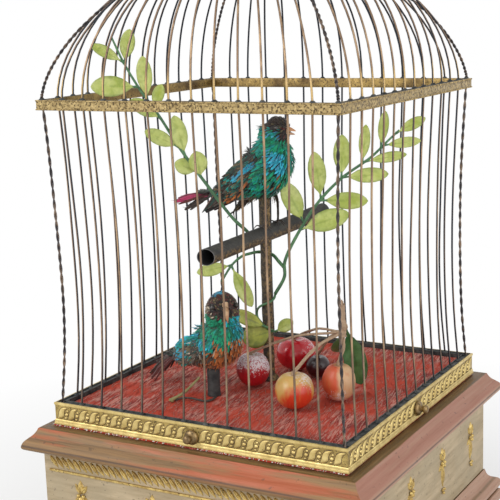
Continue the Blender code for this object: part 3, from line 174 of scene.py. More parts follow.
def section(at, side, up, rows):
    """A ring of points, each (beside, above) the given one."""
    return [at + side * x + up * z for x, z in rows]


class Shape:
    """Points and faces gathered for one piece: each point has a tint number and each face a finish number."""

    def __init__(self):
        self.points, self.faces, self.tints, self.finishes = [], [], [], []

    def add(self, points, faces, tint=0.5, finish=0):
        """Takes in points in millimetres and faces that count from the first of them."""
        start = len(self.points)
        self.points += [Vector(p) * MM for p in points]
        self.faces += [[start + k for k in face] for face in faces]
        self.tints += tint if isinstance(tint, list) else [tint] * len(points)
        self.finishes += [finish] * len(faces)

    def skin(self, rings, tint=0.5, finish=0, around=True, caps=True):
        """Quads between rings that have as many points; open rings make a sheet."""
        count = len(rings[0])
        faces = []
        for r in range(len(rings) - 1):
            for k in range(count if around else count - 1):
                a, b = r * count + k, r * count + (k + 1) % count
                faces.append((a, b, b + count, a + count))
        if around and caps:
            faces.append(tuple(reversed(range(count))))
            faces.append(tuple(range((len(rings) - 1) * count, len(rings) * count)))
        tints = [t for t in tint for _ in range(count)] if isinstance(tint, list) else tint
        self.add([p for ring in rings for p in ring], faces, tints, finish)

    def square(self, half, profile):
        """A mitred strip round a square: the profile is (out from the half width, height)."""
        for side in range(4):
            spin = turn_about_z(side)
            self.skin([[spin @ Vector((end * (half + out), -half - out, z)) for out, z in profile]
                       for end in (-1, 1)], caps=False)

    def tube(self, path, radius, sides=8, tint=0.5, finish=0, closed=False):
        """A round bar along a path; radius is one number or one for each point."""
        path = [Vector(p) for p in path]
        count = len(path)
        radii = radius if isinstance(radius, list) else [radius] * count
        across = None
        rings = []
        for k, at in enumerate(path):
            along = (path[(k + 1) % count] - path[k - 1]).normalized() if closed else heading(path, k)
            if across is None:
                across = along.orthogonal() if abs(along.z) > 0.9 else along.cross(UP)
            across = (across - across.project(along)).normalized()
            up = along.cross(across)
            rings.append([at + (across * cos(a) + up * sin(a)) * radii[k] for a in wheel(sides)])
        if closed:
            rings.append(rings[0])
        self.skin(rings, tint, finish, caps=not closed)

    def lathe(self, profile, at=(0, 0, 0), axis=UP, steps=32, tint=0.5, finish=0, lumps=None, caps=True):
        """A (radius, height) profile turned about an axis; lumps gives a radius factor for (turn, height)."""
        axis = Vector(axis).normalized()
        across = axis.orthogonal().normalized() if abs(axis.z) < 0.99 else Vector((1, 0, 0))
        beside = axis.cross(across)
        rings = []
        for r, h in profile:
            rings.append([Vector(at) + axis * h + (across * cos(a) + beside * sin(a))
                          * (max(r, 0.001) * (lumps(a, h) if lumps else 1)) for a in wheel(steps)])
        self.skin(rings, tint, finish, caps=caps)

    def make(self, name, finishes, body="root", stands_for=(), slot=None, sharp=None):
        """An object with the finishes that are used, on a body; edges sharper than the angle stay sharp."""
        data = bpy.data.meshes.new(name)
        data.from_pydata(self.points, [], self.faces)
        tint = data.attributes.new("tint", "FLOAT", "POINT")
        tint.data.foreach_set("value", self.tints)
        used = sorted(set(self.finishes))
        data.polygons.foreach_set("material_index", [used.index(k) for k in self.finishes])
        for k in used:
            data.materials.append(finishes[k])
        data.update()
        data.shade_smooth()
        if sharp:
            data.set_sharp_from_angle(angle=radians(sharp))
        made = bpy.data.objects.new(name, data)
        bpy.context.scene.collection.objects.link(made)
        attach(made, body)
        if stands_for:
            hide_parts(*stands_for)
        return made


def curve_through(points, count):
    """Points at even parameters on a Catmull-Rom curve through the given ones, of any length."""
    held = [Vector(p) for p in points]
    held = [2 * held[0] - held[1]] + held + [2 * held[-1] - held[-2]]
    spans = len(held) - 3
    out = []
    for k in range(count):
        place = spans * k / (count - 1)
        i = min(int(place), spans - 1)
        t = place - i
        a, b, c, d = held[i:i + 4]
        out.append(0.5 * (2 * b + (c - a) * t + (2 * a - 5 * b + 4 * c - d) * t * t
                          + (3 * b - a - 3 * c + d) * t ** 3))
    return out


# Effects shared by the finishes

def effect(name, inputs, outputs, build):
    """A shader node group, made once. Inputs are (name, kind, default), outputs (name, kind)."""
    tree = bpy.data.node_groups.get(name)
    if tree is None:
        tree = bpy.data.node_groups.new(name, "ShaderNodeTree")
        for label, kind, default in inputs:
            socket = tree.interface.new_socket(label, in_out="INPUT", socket_type="NodeSocket" + kind)
            if default is not None:
                socket.default_value = default
        for label, kind in outputs:
            tree.interface.new_socket(label, in_out="OUTPUT", socket_type="NodeSocket" + kind)
        work = Nodes(tree)
        entry, leave = work.node("NodeGroupInput"), work.node("NodeGroupOutput")
        for socket, value in zip(leave.inputs, build(work, entry.outputs)):
            tree.links.new(value, socket)
    return tree


class Nodes:
    """Adds nodes to a tree. A socket given as a value is linked, anything else is set."""

    def __init__(self, tree):
        self.tree = tree

    def node(self, kind, sockets=None, **settings):
        made = self.tree.nodes.new(kind)
        for key, value in settings.items():
            setattr(made, key, value)
        for key, value in (sockets or {}).items():
            self.put(made.inputs[key], value)
        return made

    def put(self, socket, value):
        if isinstance(value, bpy.types.NodeSocket):
            self.tree.links.new(value, socket)
        elif socket.type == "RGBA" and len(value) == 3:
            socket.default_value = (*value, 1.0)
        else:
            socket.default_value = value

    def maths(self, operation, a, b=0.0, clamp=False):
        return self.node("ShaderNodeMath", {0: a, 1: b}, operation=operation, use_clamp=clamp).outputs[0]

    def times(self, a, b, clamp=False):
        return self.maths("MULTIPLY", a, b, clamp)

    def plus(self, a, b, clamp=False):
        return self.maths("ADD", a, b, clamp)

    def minus(self, a, b):
        return self.maths("SUBTRACT", a, b)

    def vector(self, operation, a, b=(0, 0, 0)):
        made = self.node("ShaderNodeVectorMath", {0: a, 1: b}, operation=operation)
        return made.outputs["Value" if operation in ("DOT_PRODUCT", "LENGTH") else "Vector"]

    def centred(self, value, much):
        return self.times(self.minus(value, 0.5), much)

    def mix(self, share, a, b):
        return self.node("ShaderNodeMix", {0: share, 6: a, 7: b}, data_type="RGBA").outputs[2]

    def between(self, value, low, high, out_low=0.0, out_high=1.0):
        return self.node("ShaderNodeMapRange", {"Value": value, "From Min": low, "From Max": high,
                                                "To Min": out_low, "To Max": out_high}).outputs[0]

    def noise(self, vector, scale, detail=3.0, roughness=0.55):
        return self.node("ShaderNodeTexNoise", {"Vector": vector, "Scale": scale, "Detail": detail,
                                                "Roughness": roughness}).outputs["Fac"]

    def stretched(self, vector, scale, turn=(0, 0, 0)):
        return self.node("ShaderNodeMapping", {"Vector": vector, "Scale": scale, "Rotation": turn}).outputs[0]

    def split(self, vector):
        return self.node("ShaderNodeSeparateXYZ", {0: vector}).outputs

    def use(self, tree, **sockets):
        return self.node("ShaderNodeGroup", sockets, node_tree=tree).outputs

    def seen(self):
        """1 where the camera, a mirror or glass looks, 0 where only light falls."""
        light = self.node("ShaderNodeLightPath").outputs
        return self.maths("MAXIMUM", self.maths("MAXIMUM", light["Is Camera Ray"], light["Is Glossy Ray"]),
                          light["Is Transmission Ray"])


class Finish(Nodes):
    """A material on its way: the Principled BSDF, the place on the piece and the surface's direction."""

    def __init__(self, name, roughness=0.5, metallic=0.0, **constants):
        self.material = bpy.data.materials.new(name)
        self.material.use_nodes = True
        super().__init__(self.material.node_tree)
        self.skin = self.tree.nodes["Principled BSDF"]
        self.place = self.node("ShaderNodeTexCoord").outputs["Object"]
        self.facing = self.node("ShaderNodeNewGeometry").outputs["Normal"]
        self.set("Roughness", roughness)
        self.set("Metallic", metallic)
        for key, value in constants.items():
            self.set(key.replace("_", " "), value)

    def set(self, socket, value):
        """Sets or links an input of the Principled BSDF; capitals don't matter."""
        names = {name.lower(): name for name in self.skin.inputs.keys()}
        self.put(self.skin.inputs[names[socket.lower()]], value)

    def tint(self):
        return self.node("ShaderNodeAttribute", attribute_name="tint").outputs["Fac"]

    def grain(self, scale, detail=3.0, roughness=0.55, stretch=None):
        """Noise over the piece, drawn out along the axes whose stretch is below 1."""
        place = self.stretched(self.place, stretch) if stretch else self.place
        return self.noise(place, scale, detail, roughness)

    def mottled(self, scale, spread, dark, light):
        return self.use(mottling(), Vector=self.place, Scale=scale, Spread=spread, Dark=dark,
                        Light=light)["Color"]

    def specks(self, scale, share):
        return self.use(speckling(), Vector=self.place, Scale=scale, Share=share)["Mask"]

    def soiled(self, base, scale, share, much, dirt):
        """Sets the base colour, with specks of dirt over it."""
        self.set("Base Color", self.mix(self.times(self.specks(scale, share), much), base, dirt))

    def streaked(self, scale, stretch, low, high):
        return self.use(side_streaks(), Position=self.place, Normal=self.facing, Scale=scale,
                        Stretch=stretch, Low=low, High=high)["Mask"]

    def raised_by(self, height, strength, distance):
        """Bumps the surface, up to a distance in millimetres, and gives the finished material."""
        self.set("Normal", self.node("ShaderNodeBump", {
            "Height": height, "Strength": strength, "Distance": distance * MM}).outputs[0])
        return self.material


def mottling():
    """Two colours in soft clouds."""
    def build(work, given):
        cloud = work.noise(given["Vector"], given["Scale"], 4.0, 0.6)
        half = work.times(given["Spread"], 0.5)
        share = work.node("ShaderNodeMapRange", {
            "Value": cloud, "From Min": work.minus(0.5, half),
            "From Max": work.plus(0.5, half)}).outputs[0]
        return work.mix(share, given["Dark"], given["Light"]), share
    given = (("Vector", "Vector", None), ("Scale", "Float", 100.0), ("Spread", "Float", 0.3),
             ("Dark", "Color", (0, 0, 0, 1)), ("Light", "Color", (1, 1, 1, 1)))
    return effect("mottling", given, (("Color", "Color"), ("Mask", "Float")), build)


def speckling():
    """A mask of small spots, as of dirt, pitting or frost; Share is how much they cover."""
    def build(work, given):
        grain = work.noise(given["Vector"], given["Scale"], 2.0, 0.7)
        edge = work.minus(0.72, work.times(given["Share"], 0.44))
        over = work.minus(grain, edge)
        return (work.times(over, 22.0, clamp=True),)
    given = (("Vector", "Vector", None), ("Scale", "Float", 900.0), ("Share", "Float", 0.3))
    return effect("speckling", given, (("Mask", "Float"),), build)


def side_streaks():
    """A mask of streaks that run along whichever side of the square the surface faces."""
    def build(work, given):
        x, y, z = work.split(given["Position"])
        nx, ny, _ = work.split(given["Normal"])
        faces_x = work.maths("GREATER_THAN", work.maths("ABSOLUTE", nx), work.maths("ABSOLUTE", ny))
        along = work.node("ShaderNodeMix", {0: faces_x, 2: x, 3: y}, data_type="FLOAT").outputs[0]
        across = work.node("ShaderNodeMix", {0: faces_x, 2: y, 3: x}, data_type="FLOAT").outputs[0]
        lie = work.node("ShaderNodeCombineXYZ", {
            0: work.times(along, given["Stretch"]), 1: across, 2: z}).outputs[0]
        streak = work.noise(lie, given["Scale"], 5.0, 0.62)
        return (work.between(streak, given["Low"], given["High"]),)
    given = (("Position", "Vector", None), ("Normal", "Vector", None), ("Scale", "Float", 200.0),
             ("Stretch", "Float", 0.08), ("Low", "Float", 0.42), ("High", "Float", 0.58))
    return effect("side_streaks", given, (("Mask", "Float"),), build)


# Finishes

def wire_finish(settings):
    """Brass rubbed to a copper tan on the outside of the cage and left dark inside it, with a painted
    highlight of pale gold just above the band.
    """
    f = Finish("drawn_wire", roughness=0.42, metallic=0.6)
    outward = f.vector("NORMALIZE", f.vector("MULTIPLY", f.place, (1, 1, 0)))
    cloud = f.grain(60.0, stretch=(1, 1, 0.35))
    facing = f.plus(f.vector("DOT_PRODUCT", f.facing, outward), f.centred(cloud, 1.9))
    low = f.between(f.plus(f.split(f.place)[2], f.times(cloud, 0.08)), 0.165, 0.25, 0.3, 1.0)
    worn = f.times(f.between(facing, 0.05, 0.5), low)
    pale = f.mix(f.between(f.grain(110.0, stretch=(1, 1, 0.4)), 0.5, 0.66), settings.rubbed,
                 (0.45, 0.305, 0.18))
    # Just above the shoulder band the outer faces turn pale gold: a painted highlight.
    over_band = f.maths("ABSOLUTE", f.minus(f.split(f.place)[2], (BAND_TOP + 8) * MM))
    pale = f.mix(f.between(over_band, 0.012, 0.004, 0.0, 0.8), pale, (0.60, 0.42, 0.17))
    f.soiled(f.mix(worn, settings.patina, pale), 800.0, 0.22, 0.6, (0.05, 0.035, 0.03))
    f.set("Roughness", f.between(cloud, 0.3, 0.7, 0.3, 0.55))
    return f.raised_by(f.grain(700.0), 0.25, 0.12)


def post_finish():
    """The corner posts' twisted wire, darker than the rest."""
    f = Finish("twisted_wire", roughness=0.42, metallic=0.6)
    cloud = f.between(f.grain(150.0), 0.46, 0.66)
    f.set("Base Color", f.mix(cloud, (0.045, 0.04, 0.042), (0.24, 0.165, 0.11)))
    return f.raised_by(f.grain(800.0), 0.3, 0.12)


def dark_rail_finish():
    """Blackened solder and lead-grey metal in the channel that holds the wires."""
    f = Finish("dark_rail", roughness=0.6, metallic=0.55)
    f.set("Base Color", f.mottled(160.0, 0.3, (0.02, 0.024, 0.026), (0.10, 0.105, 0.10)))
    return f.raised_by(f.grain(350.0), 0.6, 0.4)


def gilt_finish(name, colour, shade, spots, metallic=0.62, roughness=0.36, clouds=110.0):
    """Gilded or lacquered brass with brown in its hollows and small dark spots."""
    f = Finish(name, roughness=roughness, metallic=metallic)
    f.set("Base Color", f.mix(f.specks(620.0, spots), f.mottled(clouds, 0.34, shade, colour),
                              (0.09, 0.06, 0.025)))
    f.set("Roughness", f.between(f.grain(300.0), 0.3, 0.7, roughness - 0.1, roughness + 0.18))
    return f.raised_by(f.grain(520.0), 0.5, 0.25)


def giltwood_finish(settings):
    """Gold over red clay on moulded wood: olive gold at the front and back with clay showing where the
    moulding stands out, and pink primer at the other two sides, all in long streaks."""
    f = Finish("giltwood", roughness=0.5, metallic=0.12)
    height = f.split(f.place)[2]
    nx, ny, nz = f.split(f.facing)
    wear = f.streaked(52.0, 0.10, 0.47, 0.56)
    grain = f.streaked(380.0, 0.04, 0.34, 0.66)
    pale = f.streaked(170.0, 0.05, 0.50, 0.64)
    flank = f.maths("GREATER_THAN", f.maths("ABSOLUTE", nx), f.maths("ABSOLUTE", ny))
    flat = f.between(nz, 0.90, 0.97)
    raised = f.node("ShaderNodeMapRange", {"Value": height, "From Min": NOSE_FROM, "From Max": NOSE_FULL},
                    interpolation_type="SMOOTHSTEP").outputs[0]
    gold = f.mix(grain, (0.145, 0.08, 0.028), settings.gold)
    clay = f.mix(f.times(pale, 0.5), settings.bole, (0.40, 0.19, 0.085))
    bare = f.times(wear, f.between(raised, 0.0, 1.0, 0.35, 0.95), clamp=True)
    front = f.mix(bare, gold, clay)
    primer = f.mix(f.between(raised, 0.0, 1.0, 0.75, 0.12), (0.37, 0.155, 0.10), (0.50, 0.33, 0.225))
    primer = f.mix(f.times(pale, 0.5), primer, (0.42, 0.25, 0.165))
    primer = f.mix(f.times(grain, 0.35), primer, (0.27, 0.11, 0.075))
    side = f.mix(flank, front, primer)
    seam = f.times(f.between(f.maths("ABSOLUTE", f.minus(height, SEAM_Z)), 0.0009, 0.0003), 0.7)
    side = f.mix(seam, side, (0.075, 0.045, 0.035))
    top = f.mix(grain, (0.07, 0.038, 0.013), (0.20, 0.11, 0.036))
    top = f.mix(f.times(pale, 0.45), top, (0.33, 0.21, 0.10))
    f.soiled(f.mix(flat, side, top), 260.0, 0.14, 0.5, (0.05, 0.03, 0.018))
    f.set("Roughness", f.between(grain, 0.0, 1.0, 0.38, 0.6))
    return f.raised_by(f.plus(grain, f.times(wear, 0.6)), 0.4, 0.4)


def wood_finish(name, dark, light):
    """Bare board with its grain along X."""
    f = Finish(name, roughness=0.72)
    grain = f.grain(6.0, 6.0, stretch=(3.0, 60.0, 60.0))
    f.set("Base Color", f.mix(f.between(grain, 0.35, 0.65), dark, light))
    return f.raised_by(grain, 0.5, 0.4)


def matting_finish(settings):
    """Red matting whose pale fibres show in slanting scratches, in patches."""
    f = Finish("red_matting", roughness=0.95)
    stray = f.node("ShaderNodeTexNoise", {"Vector": f.place, "Scale": 60.0}).outputs["Color"]
    bent = f.vector("ADD", f.place, f.vector("MULTIPLY", stray, (0.0014, 0.0, 0.0)))
    threads = []
    for turn, thin, scale, rough in ((-7, 0.06, 680.0, 0.6), (-14, 0.07, 1100.0, 0.55)):
        turned = f.stretched(bent, (1, 1, 1), (0, 0, radians(turn)))
        threads.append(f.noise(f.stretched(turned, (1.0, thin, 1.0)), scale, 2.0, rough))
    strand, finer = threads
    patch = f.between(f.grain(22.0, 2.0), 0.40, 0.56)
    bare = f.times(f.between(f.maths("MAXIMUM", strand, finer), 0.54, 0.615), patch, clamp=True)
    red = f.mix(f.between(f.grain(190.0, stretch=(1.0, 0.2, 1.0)), 0.36, 0.6), (0.21, 0.022, 0.018),
                settings.matting)
    red = f.mix(f.minus(1.0, patch), red, (0.50, 0.052, 0.022))
    f.set("Base Color", f.mix(f.times(bare, 0.88), red, settings.fibre))
    return f.raised_by(f.plus(strand, finer), 0.6, 0.35)


def leaf_finish(name, leaf, pale, dark, roughness=0.42):
    """Waxed cloth: blotched, each leaf its own tone, darker along the folded midrib as painted shade, veins
    faintly raised.
    """
    f = Finish(name, roughness=roughness, subsurface_weight=0.08)
    tone = f.mottled(85.0, 0.30, leaf, pale)
    tone = f.mix(f.times(f.between(f.grain(210.0), 0.52, 0.66), 0.4), tone, dark)
    ragged = f.plus(f.tint(), f.centred(f.grain(260.0), 0.5))
    # Darker along the midrib, where the blade folds: painted shade of the fold.
    tone = f.mix(f.between(ragged, 0.16, 0.02, 0.0, 0.5), tone, dark)
    f.set("Base Color", f.mix(f.between(ragged, 0.62, 0.95, 0.0, 0.6), tone, dark))
    return f.raised_by(f.grain(380.0), 0.35, 0.4)


def stem_finish(settings):
    """Green paper twisted round the stems."""
    f = Finish("green_stem", roughness=0.45)
    cloud = f.between(f.grain(120.0), 0.4, 0.65)
    f.set("Base Color", f.mix(cloud, settings.stem, (0.10, 0.24, 0.10)))
    return f.raised_by(f.grain(500.0, stretch=(1, 1, 0.3)), 0.4, 0.3)


def wrapped_paper_finish(name, dark, light, right):
    """Dark paper round the tree's tubes, brown underneath and, by the share given, on the right side."""
    f = Finish(name, roughness=0.7)
    x, _, z = f.split(f.facing)
    below = f.plus(f.between(z, 0.3, -0.35, 0.0, 0.85), f.between(x, 0.2, 0.6, 0.0, right), clamp=True)
    brown = f.mix(f.between(f.grain(420.0), 0.44, 0.60), (0.05, 0.03, 0.015), (0.26, 0.165, 0.06))
    f.soiled(f.mix(below, f.mottled(120.0, 0.4, dark, light), brown), 700.0, 0.4, 0.7, (0.03, 0.027, 0.025))
    return f.raised_by(f.grain(260.0), 0.6, 0.5)


def slate_finish():
    """Slate grey paper of the stump, rough along its height."""
    f = Finish("slate_stump", roughness=0.75)
    f.set("Base Color", f.mottled(200.0, 0.3, (0.012, 0.014, 0.015), (0.058, 0.060, 0.058)))
    return f.raised_by(f.grain(420.0, stretch=(1, 1, 0.25)), 0.9, 0.8)


def fruit_finish(name, lit, blush, toward, centre, frost=0.0, frost_way=(0, 0, 1), frost_at=0.4, gloss=0.3,
                 dark=None, second=None, start=0.05, fade=0.55):
    """Painted cotton: one colour shading into another towards one side, or a second, streaked along the
    fruit with a darker one, with specks of glass frost lying another way."""
    f = Finish(name, roughness=gloss, subsurface_weight=0.05, coat_weight=0.15, coat_roughness=0.2)
    out = f.vector("NORMALIZE", f.vector("SUBTRACT", f.place, Vector(centre) * MM))
    way = f.vector("DOT_PRODUCT", out, Vector(toward).normalized())
    if second:
        other = f.vector("DOT_PRODUCT", out, Vector(second).normalized())
        way = f.maths("MAXIMUM", way, f.minus(other, 0.25))
    cloud = f.grain(85.0, 3.0, stretch=(1, 1, 0.5))
    share = f.between(f.plus(way, f.centred(cloud, 1.3)), start, start + fade)
    base = f.mix(share, lit, blush)
    streak = f.grain(330.0, 4.0, stretch=(1, 1, 0.22))
    base = f.mix(f.between(streak, 0.52, 0.72, 0.0, 0.6), base, dark or blush)
    rough = gloss
    if frost:
        side = f.vector("DOT_PRODUCT", out, Vector(frost_way).normalized())
        where = f.between(f.plus(side, f.centred(f.grain(130.0), 1.3)), frost_at, frost_at + 0.55)
        over = f.minus(f.grain(850.0, 3.0, 0.75), f.between(where, 0.0, 1.0, 0.72, 0.42))
        grains = f.times(over, 11.0, clamp=True)
        bloom = f.times(grains, f.times(f.between(where, 0.0, 0.35), frost))
        base = f.mix(bloom, base, (0.74, 0.68, 0.70))
        rough = f.between(bloom, 0.0, 0.6, gloss, 0.7)
    f.set("Base Color", base)
    f.set("Roughness", rough)
    return f.raised_by(f.grain(180.0, 4.0), 0.3, 0.5)


def feather_finish(name, root, tip, streak):
    """Barbs: darker at the root of each feather, brighter at its tip, each feather its own tone."""
    f = Finish(name, roughness=0.5, sheen_weight=0.35, sheen_roughness=0.4, specular_ior_level=0.3)
    tone = f.mix(f.between(f.tint(), 0.15, 0.8), root, tip)
    fine = f.grain(1100.0, 3.0)
    tone = f.mix(f.between(fine, 0.55, 0.75, 0.0, 0.6), tone, streak)
    tone = f.mix(f.between(f.grain(170.0), 0.5, 0.7, 0.0, 0.45), tone, root)
    f.set("Base Color", tone)
    return f.raised_by(fine, 0.6, 0.3)


def horn_finish():
    """Pale horn of the beaks, redder where its tint rises to the tip."""
    f = Finish("beak_horn", roughness=0.38, subsurface_weight=0.1)
    cloud = f.between(f.grain(260.0), 0.4, 0.62)
    tone = f.mix(cloud, (0.44, 0.22, 0.10), (0.60, 0.38, 0.22))
    f.set("Base Color", f.mix(f.between(f.tint(), 0.45, 1.0), tone, (0.42, 0.13, 0.04)))
    return f.raised_by(f.grain(600.0), 0.3, 0.2)


def plain_finish(name, colour, roughness, metallic=0.0, clouds=200.0, bump=0.3):
    """One colour with faint clouds, for pieces seen little."""
    f = Finish(name, roughness=roughness, metallic=metallic)
    dark = [c * 0.6 for c in colour]
    f.set("Base Color", f.mottled(clouds, 0.5, dark, colour))
    return f.raised_by(f.grain(clouds * 2), bump, 0.3)


def case_finish():
    """Pale painted wood of the case, greyed and brushed with gold."""
    f = Finish("painted_case", roughness=0.6, metallic=0.05)
    streak = f.streaked(120.0, 0.12, 0.38, 0.6)
    cloud = f.grain(30.0)
    tone = f.mix(streak, (0.34, 0.26, 0.15), (0.52, 0.41, 0.26))
    tone = f.mix(f.between(cloud, 0.45, 0.62, 0.0, 0.6), tone, (0.38, 0.31, 0.20))
    f.soiled(tone, 300.0, 0.15, 0.5, (0.07, 0.055, 0.035))
    return f.raised_by(f.plus(streak, cloud), 0.3, 0.3)


def brushed_finish(name, colour, roughness):
    """Clock metal with the fine lines of its last stoning."""
    f = Finish(name, roughness=roughness, metallic=0.95)
    lines = f.grain(900.0, 2.0, stretch=(1.0, 0.05, 1.0))
    dark = [c * 0.6 for c in colour]
    f.set("Base Color", f.mix(f.between(lines, 0.35, 0.65), dark, colour))
    f.set("Roughness", f.between(lines, 0.3, 0.7, roughness - 0.08, roughness + 0.12))
    return f.raised_by(lines, 0.2, 0.1)


def dress(finish, *nodes):
    """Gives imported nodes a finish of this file."""
    for name in nodes:
        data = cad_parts[name].data
        data.materials.clear()
        data.materials.append(finish)


# Cage

def wall_share(z):
    """How far up the cage's wall a height is, from 0 at the strip to 1 at the band."""
    return min(max((z - STRIP_TOP) / (BAND_TOP - STRIP_TOP), 0.0), 1.0)


def dome_point(foot, crown_angle, lift):
    """A point on a wire that rises from its foot on the band and curves in to the crown."""
    reach = hypot(foot.x, foot.y)
    corner = min(abs(foot.x), abs(foot.y)) / max(abs(foot.x), abs(foot.y))
    power = 2.0 / (2.3 - 0.7 * corner ** 2)
    turn = lift * pi / 2
    radius = CROWN_R + (reach - CROWN_R) * max(cos(turn), 0.0) ** power
    swing = (crown_angle - atan2(foot.y, foot.x) + pi) % (2 * pi) - pi
    angle = atan2(foot.y, foot.x) + swing * (1 - (radius - CROWN_R) / (reach - CROWN_R))
    return Vector((radius * cos(angle), radius * sin(angle), BAND_TOP + DOME_H * sin(turn) ** power))


def wire_path(side, place, bow, phase):
    """Points of one wire of a side, from the rail to the crown; place runs from -1 to 1 along the side.
    Bow and phase say how it strays from its line."""
    steps, dome_steps = 14, 18
    low = STRIP_TOP - RAIL_H + 1
    spin = turn_about_z(side)
    run = []
    for k in range(steps + 1):
        z = low + (BAND_TOP - low) * k / steps
        share = wall_share(z)
        stray = bow * sin(pi * share) * sin(2.3 * pi * share + phase)
        lean = bow * sin(pi * share) * 0.7 * cos(1.7 * pi * share + 2 * phase)
        half = WIRE_HALF - WAIST * sin(pi * share ** 0.8)
        run.append(spin @ Vector((place * half + stray, -half + lean, z)))
    foot = spin @ Vector((place * WIRE_HALF, -WIRE_HALF, BAND_TOP))
    index = (place + 1) / 2 * (WIRES_PER_SIDE + 1)
    crown_angle = radians(-135 + 90 * side) + 2 * pi * index / (4 * (WIRES_PER_SIDE + 1))
    for k in range(1, dome_steps + 1):
        share = k / dome_steps
        stray = spin @ Vector((bow * 1.3 * sin(pi * share) * sin(3 * share + phase), 0, 0))
        run.append(dome_point(foot, crown_angle, share) + stray)
    return run


def twisted_pair(shape, path, pitch, radius, finish):
    """Two wires wound round each other along a path."""
    length = sum((b - a).length for a, b in zip(path, path[1:]))
    turn_steps = 11
    steps = int(length / pitch * turn_steps)
    held = curve_through(path, steps + 1)
    for start in (0.0, pi):
        strand = []
        for k, at in enumerate(held):
            side = Vector((-at.y, at.x, 0)).normalized()
            up = heading(held, k).cross(side).normalized()
            angle = start + 2 * pi * k / turn_steps
            strand.append(at + (side * cos(angle) + up * sin(angle)) * radius * 0.92)
        shape.tube(strand, radius, 6, finish=finish)


class AUTOMATON_OT_cage_wires(bpy.types.Operator):
    """Draws each side's wires into the waist and over the dome, with the rail and the twisted corner posts"""
    bl_idname = "automaton.cage_wires"
    bl_label = "Cage Wires"

    def execute(self, context):
        settings = context.scene.automaton_cage
        finishes = [wire_finish(settings), dark_rail_finish(), post_finish()]
        radius, bow = settings.wire_radius / MM, settings.wire_bow / MM
        for side, word in enumerate(SIDES):
            spin = turn_about_z(side)
            chance = Random(40 + side)
            shape = Shape()
            for k in range(WIRES_PER_SIDE):
                place = -1 + 2 * (k + 1) / (WIRES_PER_SIDE + 1)
                shape.tube(wire_path(side, place, bow * chance.uniform(0.3, 1.7), chance.uniform(0, 6)),
                           radius, 8)
                foot = spin @ Vector((place * WIRE_HALF, -WIRE_HALF, STRIP_TOP))
                shape.lathe([(0, 1.2), (radius + 0.2, 0.9), (radius + 1.1, -0.1), (radius + 1.5, -0.6)],
                            at=foot, steps=8, finish=1)
            long_rail = side % 2 == 0
            end = RAIL_OUT if long_rail else RAIL_OUT - RAIL_W - 0.3
            channel = ((0, -RAIL_H), (RAIL_W, -RAIL_H), (RAIL_W, 0), (RAIL_W - 0.7, 0), (RAIL_W - 0.9, -0.9),
                       (0.9, -0.9), (0.7, 0), (0, 0))
            shape.skin([[spin @ Vector((x, -RAIL_OUT + y, STRIP_TOP + z)) for y, z in channel]
                        for x in (-end, end)], finish=1)
            if long_rail:
                for corner in (side, side + 1):
                    twisted_pair(shape, wire_path(corner, -1, 0.5, corner), settings.twist_pitch / MM,
                                 radius * 0.8, 2)
            shape.make(word + "_wires", finishes, stands_for=(word + "_wire_panel",), slot="wire_brass",
                       sharp=50)
        return {"FINISHED"}


def around_square(half, z, spacing):
    """(point, outward, along) at even spacing round a square."""
    count = int(2 * half / spacing)
    for side in range(4):
        spin, outward, along = side_frame(side)
        for k in range(count):
            yield spin @ Vector((-half + (k + 0.5) * 2 * half / count, -half, z)), outward, along


def bead(shape, at, outward, along, radius, tall=None, finish=0, deep=0.75):
    """A low dome, three rings high, standing out from a face."""
    up = outward.cross(along)
    tall = tall or radius
    rings = []
    for share, rise in ((1.0, -0.1), (0.8, 0.55), (0.35, 0.95), (0.02, 1.0)):
        rings.append([at + along * radius * share * cos(a) + up * tall * share * sin(a)
                      + outward * radius * deep * rise for a in wheel(8)])
    shape.skin(rings, finish=finish, caps=False)


def ribbon(shape, path, outward, wide, height, finish):
    """A raised rounded band along a path on a face."""
    rings = []
    for k, at in enumerate(path):
        rings.append(section(at, outward.cross(heading(path, k)), outward, (
            (-wide, 0), (-wide * 0.62, height * 0.8), (0, height), (wide * 0.62, height * 0.8), (wide, 0))))
    shape.skin(rings, finish=finish, around=False)


# The edges of an embossed lobe: (share of the lobes' pitch, height over the strip's middle)
LOBE_LEFT = ((0.62, 4.7), (0.26, 4.55), (0.0, 3.5), (-0.17, 1.5), (-0.25, -0.8), (-0.31, -2.9), (-0.37, -4.3))
LOBE_RIGHT = ((0.60, 4.1), (0.46, 3.1), (0.34, 1.5), (0.28, -0.4), (0.27, -2.2), (0.12, -3.7), (-0.14, -4.4))

# The beads between two lobes: (share of the pitch, height, half width, half height)
BEADS = ((0.46, -3.3, 1.05, 0.75), (0.535, -0.7, 1.5, 1.5), (0.62, 1.95, 1.05, 0.95))


def swelling(shape, left, right, outward, height):
    """A low rounded form between two edges on a face."""
    rings = []
    for k, (a, b) in enumerate(zip(left, right)):
        rise = height * min(1.0, 0.45 + 1.1 * sin(pi * (k + 0.5) / len(left)))
        rings.append([a, a.lerp(b, 0.14) + outward * rise * 0.72, a.lerp(b, 0.36) + outward * rise,
                      a.lerp(b, 0.64) + outward * rise * 0.92, a.lerp(b, 0.88) + outward * rise * 0.55, b])
    shape.skin(rings, around=False)


